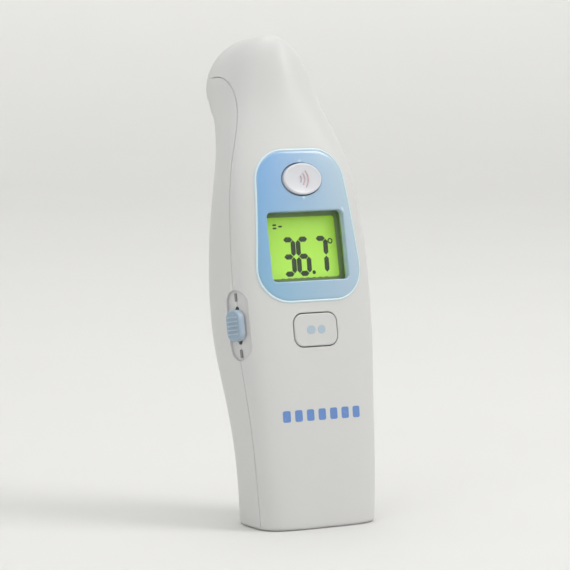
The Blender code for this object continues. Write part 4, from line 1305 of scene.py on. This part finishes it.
# Turned profiles as (radius, height) in millimetres, with the height measured out of the sensor end.
RING = [(7.3, 1.28), (7.5, 1.2), (7.58, 1.0), (7.58, 0.5), (7.4, 0.31), (6.2, 0.31)]
RING += [(6.18, -3.98), (4.42, -3.98), (4.6, -2.8), (4.8, -1.6), (5.2, 0.0), (5.55, 1.15)]
RING += [(5.75, 1.28)]
CUP_SIDE = ((6.55, -4.35), (6.55, -11.95), (4.95, -11.95), (5.0, -10.0), (5.2, -7.0), (5.6, -4.35))
CAN_SIDE = [(2.2, -6.55), (2.3, -6.42), (3.6, -6.42), (3.95, -6.6), (4.08, -6.9), (4.08, -10.9)]
CAN_SIDE += [(4.5, -11.02), (4.58, -11.2), (4.58, -11.6), (4.4, -11.68), (2.2, -11.68)]
FILTER_SIDE = ((0, -6.6), (2.25, -6.6), (2.25, -7.2), (0, -7.2))
TURNING_R = 6.0

outline = [((radius - TURNING_R) * MM, height * MM, 0) for radius, height in RING]
sensor_ring = grown(
    "sensor_ring_turned",
    TURNED,
    outline,
    [(i, (i + 1) % len(outline)) for i in range(len(outline))],
    place=SENSOR @ UPWARD,
    Radius=TURNING_R * MM,
    Steps=120,
    Paint=BLACK,
)
finish(sensor_ring, "housing", "black_plastic", "sensor_ring")
in_mm = SENSOR @ Matrix.Scale(MM, 4)
cup = lathe("sensor_cup_turned", CUP_SIDE, CUP, in_mm)
finish(cup, "housing", "sensor_metal", "sensor_cup")
can = lathe("can", CAN_SIDE, CAN, in_mm)
filter_disc = lathe("filter", FILTER_SIDE, FILTER, in_mm)
finish(joined("sensor_can_capped", can, filter_disc), "housing", "steel", "sensor_can")
sensor_board = softened("sensor_board", BOARD, 0.1 * MM)
finish(sensor_board, "housing", "circuit_board", "sensor_board")

# ---------------------------------------------------------------- screws

HEAD = ((0, 1.58), (0.7, 1.56), (1.3, 1.42), (1.75, 1.1), (1.96, 0.65), (1.98, 0.2), (1.9, 0.0))
THREAD_R, THREAD_PITCH, THREAD_START, THREAD_END = 0.98, 0.55, -0.2, -7.2


def screw_template():
    """A pan-head screw standing along +z from its seat, with a crossed recess and a ridged shank."""
    profile = [*HEAD, (THREAD_R, 0.0)]
    z = THREAD_START
    while z > THREAD_END:
        profile += [(THREAD_R, z), (0.8, z - 0.25), (0.8, z - 0.3)]
        z -= THREAD_PITCH
    profile += [(0.4, -7.7), (0, -7.95)]
    made = lathe("screw", profile, STEEL, UPWARD @ Matrix.Scale(MM, 4), 32)
    tools = [
        block("slot", (-w * MM, -h * MM, 0.75 * MM), (w * MM, h * MM, 3 * MM))
        for w, h in ((0.24, 1.1), (1.1, 0.24))
    ]
    return carve(made, "DIFFERENCE", *tools)


template = screw_template()
for name, x, z, seat, place in (
    ("shell_screw", SHELL_SCREW_X, SHELL_SCREW_Z, 17.3 * MM, DISPLAY),
    ("tray_screw", TRAY_SCREW_X, TRAY_SCREW_Z, 0.2 * MM, BAY),
):
    at = place @ Matrix.Translation((0, seat, 0)) @ UPWARD.inverted()
    pair = copies(name + "s", template, [(-x, -z, 0), (x, -z, 0)], STEEL, [0.4, 1.1], at)
    finish(pair, "housing", "steel", name + "_left", name + "_right")
bpy.data.objects.remove(template)

# ---------------------------------------------------------------- stage, lights and camera

FLOOR_R, BOWL_R, WALL_TOP, BOWL_SIDES = 1.5, 1.2, 3.2, 96


def studio():
    """A pale bowl: floor that curves up into walls all round."""
    profile = [(0.4, 0.0), (0.9, 0.0), (FLOOR_R, 0.0)]
    profile += [
        (FLOOR_R + BOWL_R * math.sin(a), BOWL_R - BOWL_R * math.cos(a))
        for a in np.radians(np.linspace(6, 90, 15))
    ]
    profile += [(FLOOR_R + BOWL_R, WALL_TOP - 1), (FLOOR_R + BOWL_R, WALL_TOP)]
    bm = bmesh.new()
    angles = np.linspace(0, 2 * math.pi, BOWL_SIDES, endpoint=False)
    loops = [
        [bm.verts.new((r * math.cos(a), r * math.sin(a), z)) for a in angles] for r, z in profile
    ]
    bm.faces.new(loops[0])
    for one, two in zip(loops, loops[1:]):
        for i in range(BOWL_SIDES):
            j = (i + 1) % BOWL_SIDES
            bm.faces.new((one[i], one[j], two[j], two[i]))
    bmesh.ops.translate(bm, vec=(0, 0, -0.03 * MM), verts=bm.verts)
    paint = Paint("studio_paper")
    floor = paint.blend(paint.noise(9, 3), (0.68, 0.68, 0.67), (0.70, 0.70, 0.69))
    # Walls painted paler than the floor as they rise, making up for the weaker light on them: painted
    # light.
    rise = (paint.along("Z") / 0.35).clipped()
    paint.set(Base_Color=paint.blend(rise, floor, (0.97, 0.97, 0.955)), Roughness=0.85)
    show("studio_floor", bm, paint.material, angle=80)


def aimed(obj, at, direction):
    """Puts a light or a camera at a place, looking along a direction."""
    obj.location = at
    obj.rotation_euler = direction.to_track_quat("-Z", "Y").to_euler()


def area_light(name, at, aim, size, power, colour):
    lamp = bpy.data.lights.new(name, "AREA")
    lamp.shape, lamp.size, lamp.energy, lamp.color = "SQUARE", size, power, colour
    aimed(linked(name, lamp), at, Vector(aim) - Vector(at))


studio()
AIM = (0, 0.01, 0.07)
area_light("key", (0.85, -0.75, 1.05), AIM, 0.6, 8.0, (1.0, 0.985, 0.96))
area_light("fill", (-1.2, -0.7, 0.7), AIM, 0.9, 2.6, (0.96, 0.98, 1.0))
area_light("top", (0.0, 0.2, 1.5), AIM, 1.2, 5.0, (1.0, 1.0, 1.0))
area_light("wall", (0.6, 1.3, 2.2), (1.4, 2.5, 0.6), 0.8, 6.0, (1.0, 1.0, 1.0))

world = bpy.data.worlds.new("studio_air")
world.use_nodes = True
air = world.node_tree.nodes["Background"].inputs
air["Color"].default_value = (1.0, 0.995, 0.985, 1)
air["Strength"].default_value = 0.80
bpy.context.scene.world = world
bpy.context.scene.view_settings.view_transform = "Standard"

AZIMUTH, ELEVATION, DISTANCE = math.radians(-30), math.radians(5.5), 0.95
MIDDLE = Vector((0.0, 0.0135, 0.0725))
lens = bpy.data.cameras.new("camera")
lens.lens, lens.sensor_width = 193, 36
lens.clip_start, lens.clip_end = 0.01, 20
camera = linked("camera", lens)
bpy.context.scene.camera = camera
level = math.cos(ELEVATION)
away = Vector((math.sin(AZIMUTH) * level, -math.cos(AZIMUTH) * level, math.sin(ELEVATION)))
aimed(camera, MIDDLE + away * DISTANCE, -away)
